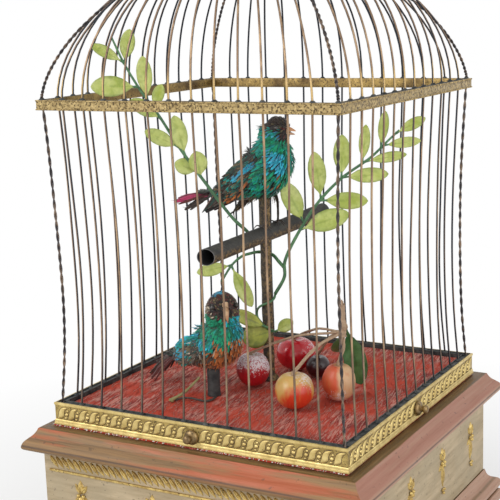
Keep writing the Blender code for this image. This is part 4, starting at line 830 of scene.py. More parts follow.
class AUTOMATON_OT_gallery_strip(bpy.types.Operator):
    """Embosses the brass strip with running lobes and stacks of beads, with dirt and painted shade in its
    recesses, and rolls its edges
    """
    bl_idname = "automaton.gallery_strip"
    bl_label = "Gallery Strip"

    def execute(self, context):
        settings = context.scene.automaton_cage
        bright = gilt_finish("embossed_gilt", settings.gilding, (0.50, 0.36, 0.12), spots=0.10,
                             roughness=0.34)
        # The ground behind the lobes is a darker copy of the gilding: painted shade of the recess.
        ground = gilt_finish("gilt_ground_painted_shade", (0.52, 0.38, 0.125), (0.25, 0.17, 0.05), spots=0.3)
        # Dark finish of dirt and painted shade, for the lobes' outlines and the rings round the beads; the
        # hatching uses it too.
        groove = gilt_finish("groove_dirt_and_shade", (0.13, 0.082, 0.026), (0.05, 0.03, 0.012), spots=0.2,
                             metallic=0.0, roughness=0.6)
        shape = Shape()
        low, high = STRIP_LOW, STRIP_TOP
        middle = (low + high) / 2 + 0.55
        edges = ((0, high), (0.5, high - 0.2), (0.62, high - 0.9), (0.45, high - 1.9), (0.05, high - 2.2),
                 (0.05, low + 3.7), (0.4, low + 3.3), (0.6, low + 2.4), (0.6, low + 1.5), (0.95, low + 1.0),
                 (1.0, low), (-0.65, low), (-0.65, high))
        recess = 4  # the row of the edges that is the ground behind the lobes, its darker gold a painted shade of the recess
        shape.square(CAGE_HALF, edges)
        for side in range(4):
            shape.finishes[side * len(edges) + recess] = 1
            spin, outward, along = side_frame(side)
            pitch = 2 * (CAGE_HALF - 1.5) / settings.scrolls
            chance = Random(5 + side)
            for k in range(settings.scrolls):
                x = -CAGE_HALF + 1.5 + (k + 0.4) * pitch
                centre = spin @ Vector((x, -CAGE_HALF - 0.05, middle))
                if abs(x + 0.1 * pitch) > 6.5:
                    rise = chance.uniform(0.75, 0.95)
                    left, right = (curve_through([centre + along * u * pitch + UP * v for u, v in edge], 13)
                                   for edge in (LOBE_LEFT, LOBE_RIGHT))
                    swelling(shape, left, right, outward, rise)
                    # Dark outlines along the lobes' edges: dirt and painted shade in the groove.
                    ribbon(shape, left, outward, 0.34, 0.18, finish=2)
                    ribbon(shape, right, outward, 0.28, 0.18, finish=2)
                if abs(x + 0.54 * pitch) > 6.5 and k < settings.scrolls - 1:
                    for u, v, size, tall in BEADS:
                        at = centre + along * u * pitch + UP * v
                        # A dark ring round each bead's foot: dirt and painted shade.
                        bead(shape, at, outward, along, size + 0.36, tall + 0.36, finish=2, deep=0.1)
                        bead(shape, at, outward, along, size, tall, deep=0.75)
                for j in range(4):
                    at = centre + along * (0.30 + 0.13 * j) * pitch + UP * (-4.35 - 0.03 * j)
                    shape.tube([at, at + along * 0.35 - UP * 0.75], 0.2, 4, finish=2)
        shape.make("gallery_relief", [bright, ground, groove], stands_for=("gallery_strip",),
                   slot="gilt_brass", sharp=40)
        return {"FINISHED"}


class AUTOMATON_OT_shoulder_band(bpy.types.Operator):
    """Finishes the two strips of the shoulder band with milled edges and the solder between them"""
    bl_idname = "automaton.shoulder_band"
    bl_label = "Shoulder Band"

    def execute(self, context):
        outer = gilt_finish("mottled_gilt", (0.56, 0.42, 0.19), (0.24, 0.165, 0.065), spots=0.42,
                            clouds=420.0)
        inner = gilt_finish("stained_gilt", (0.40, 0.27, 0.085), (0.11, 0.065, 0.02), spots=0.34, clouds=60.0)
        solder = dark_rail_finish()
        low, high = BAND_LOW, BAND_TOP
        half = corners("band_outer_strip")[1].x
        inside = corners("band_inner_strip")[1].x
        shape = Shape()
        rim = ((0.0, high), (0.45, high - 0.25), (0.45, high - 0.9), (0.0, high - 1.15), (0.0, low + 1.15),
               (0.45, low + 0.9), (0.45, low + 0.25), (0.0, low), (-0.8, low), (-0.8, high))
        shape.square(half, rim)
        for z in (high - 0.6, low + 0.6):
            for at, outward, along in around_square(half + 0.4, z, 1.35):
                bead(shape, at, outward, along, 0.5, 0.55, deep=0.6)
        shape.make("band_outer", [outer], stands_for=("band_outer_strip",), slot="gilt_brass", sharp=40)
        shape = Shape()
        shape.square(inside, ((0, high), (0, low), (-0.8, low), (-0.95, low + 1.0), (-0.8, low + 2.0),
                              (-0.8, high - 0.8), (-0.6, high)))
        shape.make("band_inner", [inner], stands_for=("band_inner_strip",), slot="gilt_brass", sharp=40)
        shape = Shape()
        chance = Random(11)
        for side in range(4):
            spin = turn_about_z(side)
            rings = []
            steps = 66
            for k in range(steps + 1):
                x = -1 + 2 * k / steps
                rise = chance.uniform(-0.35, 0.2)
                bed = ((inside + 0.1, high - 1.0), (inside + 0.2, high - 0.35 + rise * 0.3),
                       (WIRE_HALF, high - 0.1 + rise), (half - 1.0, high - 0.3 + rise * 0.3),
                       (half - 0.9, high - 1.0), (WIRE_HALF, low + 0.6))
                rings.append([spin @ Vector((x * reach, -reach, z)) for reach, z in bed])
            shape.skin(rings, caps=False)
            for k in range(WIRES_PER_SIDE + 1):
                place = -1 + 2 * k / (WIRES_PER_SIDE + 1)
                at = spin @ Vector((place * WIRE_HALF, -WIRE_HALF, high))
                shape.lathe([(0, 1.5), (1.2, 1.2), (2.2, 0.2), (2.6, -0.8)], at=at, steps=8)
        shape.make("band_solder", [solder], slot="gilt_brass")
        return {"FINISHED"}


def slotted_knob(shape, side, face):
    """The round-headed screw in the middle of a side, with its saw cut."""
    outward = side_frame(side)[1]
    at = outward * face + UP * (STRIP_TOP - 9.4)
    shape.lathe([(1.4, -12), (1.4, 0.1), (5.4, 0.1), (5.4, 1.2), (4.9, 2.0), (3.6, 2.7), (2.3, 3.2),
                 (2.1, 4.2), (2.5, 4.9), (3.1, 5.6), (3.15, 6.6), (2.7, 7.6), (1.6, 8.3), (0, 8.6)], at,
                outward, 24)


class AUTOMATON_OT_crown_and_knobs(bpy.types.Operator):
    """Turns the crown cap, the finial with its ring, and the knobs that hold the cage down"""
    bl_idname = "automaton.crown_and_knobs"
    bl_label = "Crown and Knobs"

    def execute(self, context):
        settings = context.scene.automaton_cage
        bright = gilt_finish("turned_gilt", settings.gilding, (0.40, 0.27, 0.09), spots=0.26, roughness=0.3)
        aged = gilt_finish("aged_knob", (0.36, 0.24, 0.10), (0.13, 0.08, 0.035), spots=0.36, roughness=0.3)
        top = CROWN_Z
        shape = Shape()
        shape.lathe([(0, top - 2), (24, top - 2), (26.4, top - 1.8), (27.7, top - 1.2), (27.7, top + 0.4),
                     (27.0, top + 0.9), (25.8, top + 1.1), (25.2, top + 0.8), (24.6, top + 1.3),
                     (22, top + 1.9), (17, top + 3.1), (12.6, top + 4.0), (12.0, top + 3.7),
                     (11.4, top + 4.1), (6, top + 4.55), (0, top + 4.6)], steps=56)
        for k in range(52):
            angle = 2 * pi * (k + 0.5) / 52
            out = Vector((cos(angle), sin(angle), 0))
            bead(shape, out * 25.2 + UP * (top + 1.0), UP, out.cross(UP), 0.9, deep=0.6)
        shape.make("crown_dish", [bright], stands_for=("crown_cap",), slot="gilt_brass", sharp=35)
        base = top + 4.9
        shape = Shape()
        fluted = ((0, 0), (7.4, 0), (7.4, 1.2), (6.6, 2.4), (5.4, 3.2), (3.4, 4.3), (3.0, 5.2), (3.4, 6.2),
                  (5.4, 7.6), (7.3, 9.6), (8.2, 12.2), (8.0, 14.4), (7.0, 16.2), (5.0, 18.0), (3.3, 19.2),
                  (2.8, 20.4), (3.4, 22.0), (3.6, 23.4), (2.8, 25.2), (1.4, 25.9), (0, 26))
        shape.lathe(fluted, at=(0, 0, base), steps=48,
                    lumps=lambda angle, h: 1 + (0.05 * abs(cos(5 * angle)) if 6 < h < 18 else 0))
        reach = 9.0
        ring_z = base + 26 + reach - 1.2
        shape.tube([(reach * cos(a), 0, ring_z + reach * sin(a)) for a in wheel(48)], 1.6, 12, closed=True)
        shape.make("finial_and_ring", [bright], stands_for=("finial",), slot="gilt_brass", sharp=35)
        for side, word in enumerate(SIDES):
            shape = Shape()
            slotted_knob(shape, side, CAGE_HALF + 0.3)
            shape.make(word + "_knob", [aged], stands_for=(word + "_cage_screw",), slot="gilt_brass",
                       sharp=45)
        return {"FINISHED"}


# Base

def softened(profile, steps=4):
    """A (half, height) profile with its points joined by smooth curves."""
    return [tuple(p) for p in curve_through([Vector(p) for p in profile], steps * (len(profile) - 1) + 1)]


def square_moulding(shape, outside, inside, chance):
    """A moulding run round the square: the outside profile wavers a little, as old carved wood does."""
    pieces, wander = 40, 0.18
    profile = outside + inside
    for side in range(4):
        spin = turn_about_z(side)
        rings = []
        drift = [chance.uniform(-1, 1) for _ in range(pieces + 1)]
        for k in range(pieces + 1):
            share = -1 + 2 * k / pieces
            near_end = 1 - abs(share) ** 14
            ring = []
            for j, (half, z) in enumerate(profile):
                stray = wander * drift[k] * near_end * (sin(j * 1.3 + k * 0.7) if j < len(outside) else 0)
                ring.append(spin @ Vector((share * half, -half - min(stray, 0.12), z)))
            rings.append(ring)
        shape.skin(rings, caps=False)


def drop_leaf(shape, at, outward, along, up, length, width, height):
    """A pointed leaf of gilt composition, ribbed down its middle, lying on a face."""
    rings = []
    for share, spread in ((0, 0.15), (0.12, 0.6), (0.3, 0.95), (0.5, 1.0), (0.7, 0.78), (0.88, 0.4),
                          (1, 0.04)):
        half = width / 2 * spread
        rise = height * (0.35 + 0.65 * sin(pi * min(share + 0.12, 1)))
        rings.append(section(at + up * length * share, along, outward, (
            (-half, -0.3), (-half * 0.62, rise * 0.75), (-half * 0.16, rise * 0.72), (0, rise),
            (half * 0.16, rise * 0.72), (half * 0.62, rise * 0.75), (half, -0.3))))
    shape.skin(rings)


class AUTOMATON_OT_giltwood_base(bpy.types.Operator):
    """Carves the cornice, plinth and feet, and lays gilt composition leaves on the case"""
    bl_idname = "automaton.giltwood_base"
    bl_label = "Giltwood Base"

    def execute(self, context):
        settings = context.scene.automaton_base
        wood = giltwood_finish(settings)
        flat_half, nose = CORNICE_FLAT, NOSE_HALF
        high, under = corners("base_cornice")[1].z, corners("base_cornice")[0].z
        face = corners("frieze_case")[1].x
        shape = Shape()
        outside = softened([(flat_half + 0.2, high - 0.3), (flat_half + 1.0, high - 2.2),
                            (flat_half + 3.0, high - 5.0), (flat_half + 5.6, high - 7.2),
                            (flat_half + 8.2, high - 9.6), (nose - 0.3, high - 12.0), (nose, high - 13.6),
                            (nose - 0.8, high - 15.2), (nose - 3.0, high - 16.4), (nose - 6.6, high - 17.2),
                            (face + 2.4, high - 18.2), (face + 1.0, under)])
        inner = WIRE_HALF - 2.0
        inside = [(face - 20, under), (face - 20, high - 8.3), (inner, high - 8.3), (inner, high),
                  (flat_half - 6, high), (flat_half - 0.6, high), (flat_half - 0.2, high - 0.1)]
        square_moulding(shape, outside, inside, Random(3))
        shape.make("cornice_moulding", [wood], stands_for=("base_cornice",), slot="giltwood", sharp=50)
        low, high = (corner.z for corner in corners("base_plinth"))
        shape = Shape()
        outside = softened([(face + 1.0, high), (face + 1.6, high - 2.0), (face + 2.8, high - 5.0),
                            (face + 5.6, high - 7.6), (nose - 2.4, high - 9.0), (nose - 0.6, high - 11.0),
                            (nose, high - 13.6), (nose - 0.6, high - 16.0), (nose - 2.6, high - 17.6)])
        inside = [(nose - 2.6, high - 18.6), (nose - 0.4, high - 19.0), (nose, high - 19.4),
                  (nose, low + 0.6), (nose - 0.6, low), (face - 16, low), (face - 16, low + 2),
                  (face - 10, low + 2), (face - 10, high)]
        square_moulding(shape, outside, inside, Random(4))
        shape.make("plinth_moulding", [wood], stands_for=("base_plinth",), slot="giltwood", sharp=50)
        for end in ("front_left", "front_right", "back_left", "back_right"):
            shape = Shape()
            a, b = corners("foot_" + end)
            tall = b.z
            rim = softened([(13.2, 0), (14.4, tall * 0.2), (16.2, tall * 0.62), (17.0, tall * 0.70),
                            (16.4, tall * 0.80), (14.2, tall * 0.88), (13.2, tall)], 3)
            shape.lathe([(0, 0)] + rim + [(0, tall)], at=((a.x + b.x) / 2, (a.y + b.y) / 2, 0), steps=48)
            shape.make("turned_foot_" + end, [wood], stands_for=("foot_" + end,), slot="giltwood", sharp=50)
        dress(case_finish(), "frieze_case")
        self.ornament(corners("frieze_case")[1])
        dress(wood_finish("plain_board", (0.10, 0.055, 0.025), (0.26, 0.16, 0.075)), "bottom_board",
              "deck_board")
        return {"FINISHED"}

    def ornament(self, top):
        """Leaf band under the cornice at the front, and drops of leaves and berries on all four sides."""
        gilt = gilt_finish("gilt_composition", (0.74, 0.56, 0.20), (0.38, 0.25, 0.08), spots=0.26,
                           clouds=200.0)
        shape = Shape()
        chance = Random(21)
        for side in range(4):
            _, outward, along = side_frame(side)
            face = outward * (top.x - 0.1)
            if side == 0:
                count = 46
                for k in range(count):
                    x = -top.x + 6 + (2 * top.x - 12) * (k + 0.5) / count
                    lean = (along * 0.62 - UP * 0.78).normalized()
                    start = face + along * (x - 2.6) + UP * (top.z - 0.8)
                    drop_leaf(shape, start, outward, outward.cross(lean), lean, 10.5, 3.7, 1.8)
                shape.tube([face + along * x + UP * (top.z - 11.4) + outward * 0.5
                            for x in (-top.x + 5, top.x - 5)], 1.0, 8)
            for x in (-93, -31, 31, 93):
                if side == 3 and x < 0:
                    continue
                start = top.z - (16 if side == 0 else 11)
                self.drop(shape, face + along * x + UP * start, outward, along, chance)
        shape.make("case_composition", [gilt], slot="giltwood", sharp=45)

    def drop(self, shape, at, outward, along, chance):
        """A hanging spray: a leaf above, a pair either side, berries, and a long leaf below."""
        for lean, start, length, width in ((0, -8.5, 8.5, 5.2), (38, -10, 8.5, 4.4), (-38, -10, 8.5, 4.4),
                                           (118, -13, 8, 4.2), (-118, -13, 8, 4.2), (180, -15, 16, 5.6)):
            way = radians(lean + chance.uniform(-4, 4))
            up = UP * cos(way) + along * sin(way)
            drop_leaf(shape, at + UP * start, outward, outward.cross(up), up, length, width, 2.0)
        for x, z, size in ((-2.2, -11.5, 1.5), (2.2, -11.7, 1.5), (0, -13.8, 1.9), (-1.6, -33, 1.3),
                           (1.6, -33, 1.3), (0, -35.5, 1.4)):
            bead(shape, at + along * x + UP * z + outward * 1.0, outward, along, size, deep=1.1)


class AUTOMATON_OT_floor_mat(bpy.types.Operator):
    """Lays the red matting with its stray fibres, and frays its edge under the brass strip"""
    bl_idname = "automaton.floor_mat"
    bl_label = "Floor Mat"

    def execute(self, context):
        settings = context.scene.automaton_base
        finishes = [matting_finish(settings), plain_finish("pale_fibre", settings.fibre, 0.9),
                    plain_finish("white_thread", (0.80, 0.76, 0.70), 0.9)]
        step = RAIL_OUT - RAIL_W - 0.3
        ledge = corners("floor_mat")[0].z
        hem = CAGE_HALF + 1.4
        marks = [-step + 2 * step * k / 56 for k in range(57)]
        holes = ((TREE.x, TREE.y), (STUMP.x, STUMP.y))
        xs = self.with_lines(marks, [x + d for x, _ in holes for d in (-2, 2)])
        ys = self.with_lines(marks, [y + d for _, y in holes for d in (-2, 2)])
        chance = Random(8)
        shape = Shape()
        count = len(xs)
        top = [Vector((x, y, FLOOR_Z - 0.1 - chance.uniform(0, 0.3))) for y in ys for x in xs]
        bottom = [Vector((x, y, FLOOR_Z - 0.9)) for y in ys for x in xs]
        faces = []
        open_cells = set()
        for j in range(len(ys) - 1):
            for k in range(count - 1):
                x, y = (xs[k] + xs[k + 1]) / 2, (ys[j] + ys[j + 1]) / 2
                if any(abs(x - hx) < 2 and abs(y - hy) < 2 for hx, hy in holes):
                    open_cells.add((j, k))
                    continue
                a = j * count + k
                faces.append((a, a + 1, a + 1 + count, a + count))
                low = a + len(top)
                faces.append((low + count, low + 1 + count, low + 1, low))
        for j, k in sorted(open_cells):
            a = j * count + k
            corner = (a, a + 1, a + 1 + count, a + count)
            for n, (dj, dk) in enumerate(((-1, 0), (0, 1), (1, 0), (0, -1))):
                if (j + dj, k + dk) not in open_cells:
                    p, q = corner[n], corner[(n + 1) % 4]
                    faces.append((p, q, q + len(top), p + len(top)))
        shape.add(top + bottom, faces)
        rows = len(ys)
        rim = ([k for k in range(count)] + [j * count + count - 1 for j in range(1, rows)]
               + [(rows - 1) * count + k for k in range(count - 2, -1, -1)]
               + [j * count for j in range(rows - 2, 0, -1)])
        outer = [top[k] for k in rim]
        drop = [Vector((p.x, p.y, ledge + 1.1)) for p in outer]
        reach = hem / step
        spread = [Vector((min(p.x * reach + chance.uniform(-0.5, 0.3), CAGE_HALF + 0.2),
                          p.y * reach + chance.uniform(-0.5, 0.3), ledge + 0.9 + chance.uniform(-0.15, 0.2)))
                  for p in outer]
        under = [Vector((p.x, p.y, ledge + 0.15)) for p in spread]
        shy = (step - 0.8) / step
        back = [Vector((p.x * shy, p.y * shy, ledge + 0.15)) for p in outer]
        rise = [Vector((p.x * shy, p.y * shy, FLOOR_Z - 0.95)) for p in outer]
        rings = [outer, drop, spread, under, back, rise]
        count = len(rim)
        faces = []
        for r in range(len(rings) - 1):
            for k in range(count):
                here, beside = r * count + k, r * count + (k + 1) % count
                faces.append((beside, here, here + count, beside + count))
        shape.add([p for ring in rings for p in ring], faces)
        mat = shape.make("red_floor_cloth", finishes, stands_for=("floor_mat",), slot="red_cloth", sharp=60)
        strands = self.strands(finishes, step, hem, ledge)
        return {"FINISHED"}

    def with_lines(self, marks, lines):
        """Grid lines with some moved onto the edges of the holes."""
        kept = [m for m in marks if all(abs(m - line) > 1.4 for line in lines)]
        return sorted(kept + lines)

    def strands(self, finishes, step, hem, ledge):
        """Loose fibres on the cloth, and the threads and white bits along its cut edge."""
        chance = Random(14)
        shape = Shape()
        for _ in range(2400):
            x, y = chance.uniform(-step + 3, step - 3), chance.uniform(-step + 3, step - 3)
            if hypot(x - TREE.x, y - TREE.y) < 9 or hypot(x - STUMP.x, y - STUMP.y) < 7:
                continue
            way = radians(104 + chance.gauss(0, 16))
            length = chance.uniform(4, 13)
            bend = chance.uniform(-1.2, 1.2)
            path = []
            for k in range(5):
                share = k / 4 - 0.5
                px = x + cos(way) * length * share - sin(way) * bend * (1 - 4 * share * share)
                py = y + sin(way) * length * share + cos(way) * bend * (1 - 4 * share * share)
                path.append((min(max(px, -step + 1), step - 1), min(max(py, -step + 1), step - 1),
                             FLOOR_Z + 0.02 + 0.13 * (1 - 4 * share * share)))
            pale = chance.random() < 0.5
            shape.tube(path, chance.uniform(0.09, 0.17), 3, finish=1 if pale else 0)
        for side in (0, 2, 3):
            _, outward, along = side_frame(side)
            x = -hem + 2
            while x < hem - 2:
                x += chance.uniform(0.4, 2.6)
                root = along * x + outward * (hem - 0.4) + UP * (ledge + 0.9)
                length = chance.uniform(0.7, 2.2)
                tip = root + outward * length + along * chance.uniform(-0.8, 0.8) - UP * 0.35
                tip.z = max(tip.z, ledge + 0.25)
                white = chance.random() < 0.34
                shape.tube([root, (root + tip) / 2 + UP * 0.25, tip], 0.22, 4, finish=2 if white else 0)
                if chance.random() < 0.3:
                    lump = root + outward * chance.uniform(0.2, 1.4)
                    bead(shape, lump, UP, outward.cross(UP), chance.uniform(0.35, 0.75), finish=2)
        return shape.make("cloth_strands", finishes, slot="red_cloth")


# Tree

def leaf_blade(shape, base, tip, normal, width, chance, finish=0):
    """A waxed leaf: a short stalk and a blunt oval blade, folded along its midrib, curled and waved."""
    base, tip = Vector(base), Vector(tip)
    along = tip - base
    length = along.length
    normal = (Vector(normal) - Vector(normal).project(along)).normalized()
    side = along.normalized().cross(normal)
    curl, roll = chance.uniform(-0.05, 0.09), chance.uniform(-0.16, 0.16)
    fold, wave = chance.uniform(0.16, 0.34), chance.uniform(0, 6)
    outline = ((0, 0.06), (0.09, 0.075), (0.15, 0.17), (0.23, 0.45), (0.33, 0.75), (0.45, 0.94), (0.57, 1.0),
               (0.69, 0.97), (0.80, 0.84), (0.90, 0.60), (0.965, 0.33), (1.0, 0.06))
    thick = 0.45
    across = (-1, -0.66, -0.33, 0, 0.33, 0.66, 1)
    rings = []
    own = chance.random()
    for share, spread in outline:
        half = width / 2 * spread
        turned = 0.04 * length * (share - 0.5) * (1 if curl > 0 else -1) * (share > 0.5)
        middle = base + along * share + normal * (curl * length * sin(pi * share) + turned)
        front, back = [], []
        for v in across:
            ripple = 0.25 * sin(wave + share * 9 + v * 2) * abs(v) * spread
            up = fold * half * abs(v) ** 1.3 + roll * half * v + ripple
            body = thick / 2 * (1 - 0.75 * abs(v)) + 0.05
            front.append(middle + side * half * v + normal * (up + body))
            back.append(middle + side * half * v + normal * (up - body - (0 if v else 0.35)))
        rings.append(front + back[::-1])
    start = len(shape.points)
    shape.skin(rings, 0.5, finish)
    for k in range(len(shape.points) - start):
        row, v = divmod(k, 14)
        edge = abs((v if v < 7 else 13 - v) - 3) / 3
        shape.tints[start + k] = max(edge, outline[row][0] ** 5) * (0.7 + 0.3 * own)


def knobby(radii, chance, much):
    """Radii that each stray by a share of themselves."""
    return [r * (1 + chance.uniform(-much, much)) for r in radii]


def spray_shape(stems, leaves, seed, radius):
    """Stems through their points, with their leaves and the leaves' stalks."""
    chance = Random(seed)
    shape = Shape()
    for run in stems:
        path = curve_through(run, 52)
        radii = [radius * (1 - 0.45 * (k / 51) ** 1.6) for k in range(52)]
        shape.tube(path, knobby(radii, chance, 0.04), 10, finish=1)
    for stem, knot, right, up, length, width, *dark in leaves:
        at = curve_through(stems[stem], 151)[round(knot * 10)]
        way = (RIGHTWARD * right + UP * up + TOWARD * 0.08).normalized()
        leaf_blade(shape, at, at + way * length, TOWARD + UP * 0.25, width, chance, *dark)
        shape.tube([at - way * 0.5, at + way * length * 0.16], [1.15, 0.55], 8, finish=1)
    return shape


def tree_point(angle, out, height):
    """A point out from the tree at an angle in plan, at a height above the floor."""
    return Vector((TREE.x + out * cos(radians(angle)), TREE.y + out * sin(radians(angle)), FLOOR_Z + height))


BY_POST, BY_PERCH = 6.1, 11.37
LEFT_STEM = [tree_point(218, out, z) for out, z in (
    (BY_PERCH, 113.5), (14.5, 117.5), (25.5, 129), (45, 157), (61, 181), (75.5, 206), (87.5, 224), (99, 245),
    (107, 264))]
RIGHT_STEM = [tree_point(29, out, z) for out, z in (
    (BY_POST, 67), (13.5, 80), (14.5, 93), (24.5, 113), (40, 136), (58, 154), (80, 169), (93, 181),
    (102, 189))]
ARCH = [tree_point(angle, out, z) for angle, out, z in (
    (29, 14, 87), (45, 9.8, 92), (80, 8.6, 96), (125, 8, 98), (170, 8.4, 99), (196, 12, 98.6), (204, 18, 97),
    (207, 25, 91.6), (209, 30, 85), (210, 34, 78))]
VINE = [tree_point(angle, out, z) for angle, out, z in (
    (29, BY_POST, 66.5), (5, BY_POST, 65), (-20, BY_POST, 63.5), (-50, BY_POST, 62), (-85, BY_POST, 60.5),
    (-120, 6.6, 58.5), (-150, 7.6, 55.5), (-165, 8.4, 52), (-150, 7.6, 49), (-122, BY_POST, 46.5),
    (-90, BY_POST, 44), (-60, BY_POST, 42), (-30, BY_POST, 40), (0, BY_POST, 38.5), (25, BY_POST, 37.5))]

# (stem, place along it in fifteenths, rightward, upward, length, width, and 2 for a dark leaf)
SPRAYS = (
    ("left_spray", (LEFT_STEM,), 1.35, (
        (0, 5.8, -0.15, 0.99, 20, 14), (0, 6.1, -0.90, 0.44, 18, 12), (0, 7.1, -0.22, 0.97, 31, 12.5),
        (0, 7.6, -0.88, 0.47, 28, 11), (0, 9.2, -0.83, 0.56, 26, 11), (0, 9.9, 0.36, 0.93, 19, 9),
        (0, 10.6, -0.06, 1.0, 32, 11.5), (0, 11.6, -1.0, 0.03, 34, 15.5), (0, 13.1, 0.22, 0.97, 25, 11),
        (0, 13.2, -0.86, 0.50, 26, 8.5))),
    ("right_spray", (RIGHT_STEM, ARCH), 1.35, (
        (0, 6.3, -0.42, 0.91, 35, 15), (0, 7.8, -0.13, 0.99, 36.5, 13.5), (0, 9.4, 0.03, 1.0, 33, 13),
        (0, 10.7, 0.10, 1.0, 29.5, 8.5), (0, 12.3, 0.12, 0.99, 28, 8), (0, 5.9, 0.95, 0.30, 39, 16),
        (0, 7.7, 1.0, -0.03, 36, 13), (0, 9.5, 1.0, 0.05, 34, 11.5), (0, 10.9, 1.0, 0.15, 31, 8),
        (0, 12.6, 1.0, 0.11, 28, 8), (0, 14.5, 0.9, 0.45, 24, 8.5),
        (1, 12.1, 0.42, -0.91, 35, 11), (1, 12.0, -0.98, -0.17, 27, 10))),
    ("post_vine", (VINE,), 0.95, ((0, 11.6, -0.88, 0.47, 30, 11, 2), (0, 13.4, -0.97, -0.22, 25, 18.5, 2),
                                  (0, 14.2, 0.85, 0.53, 16, 10))),
)


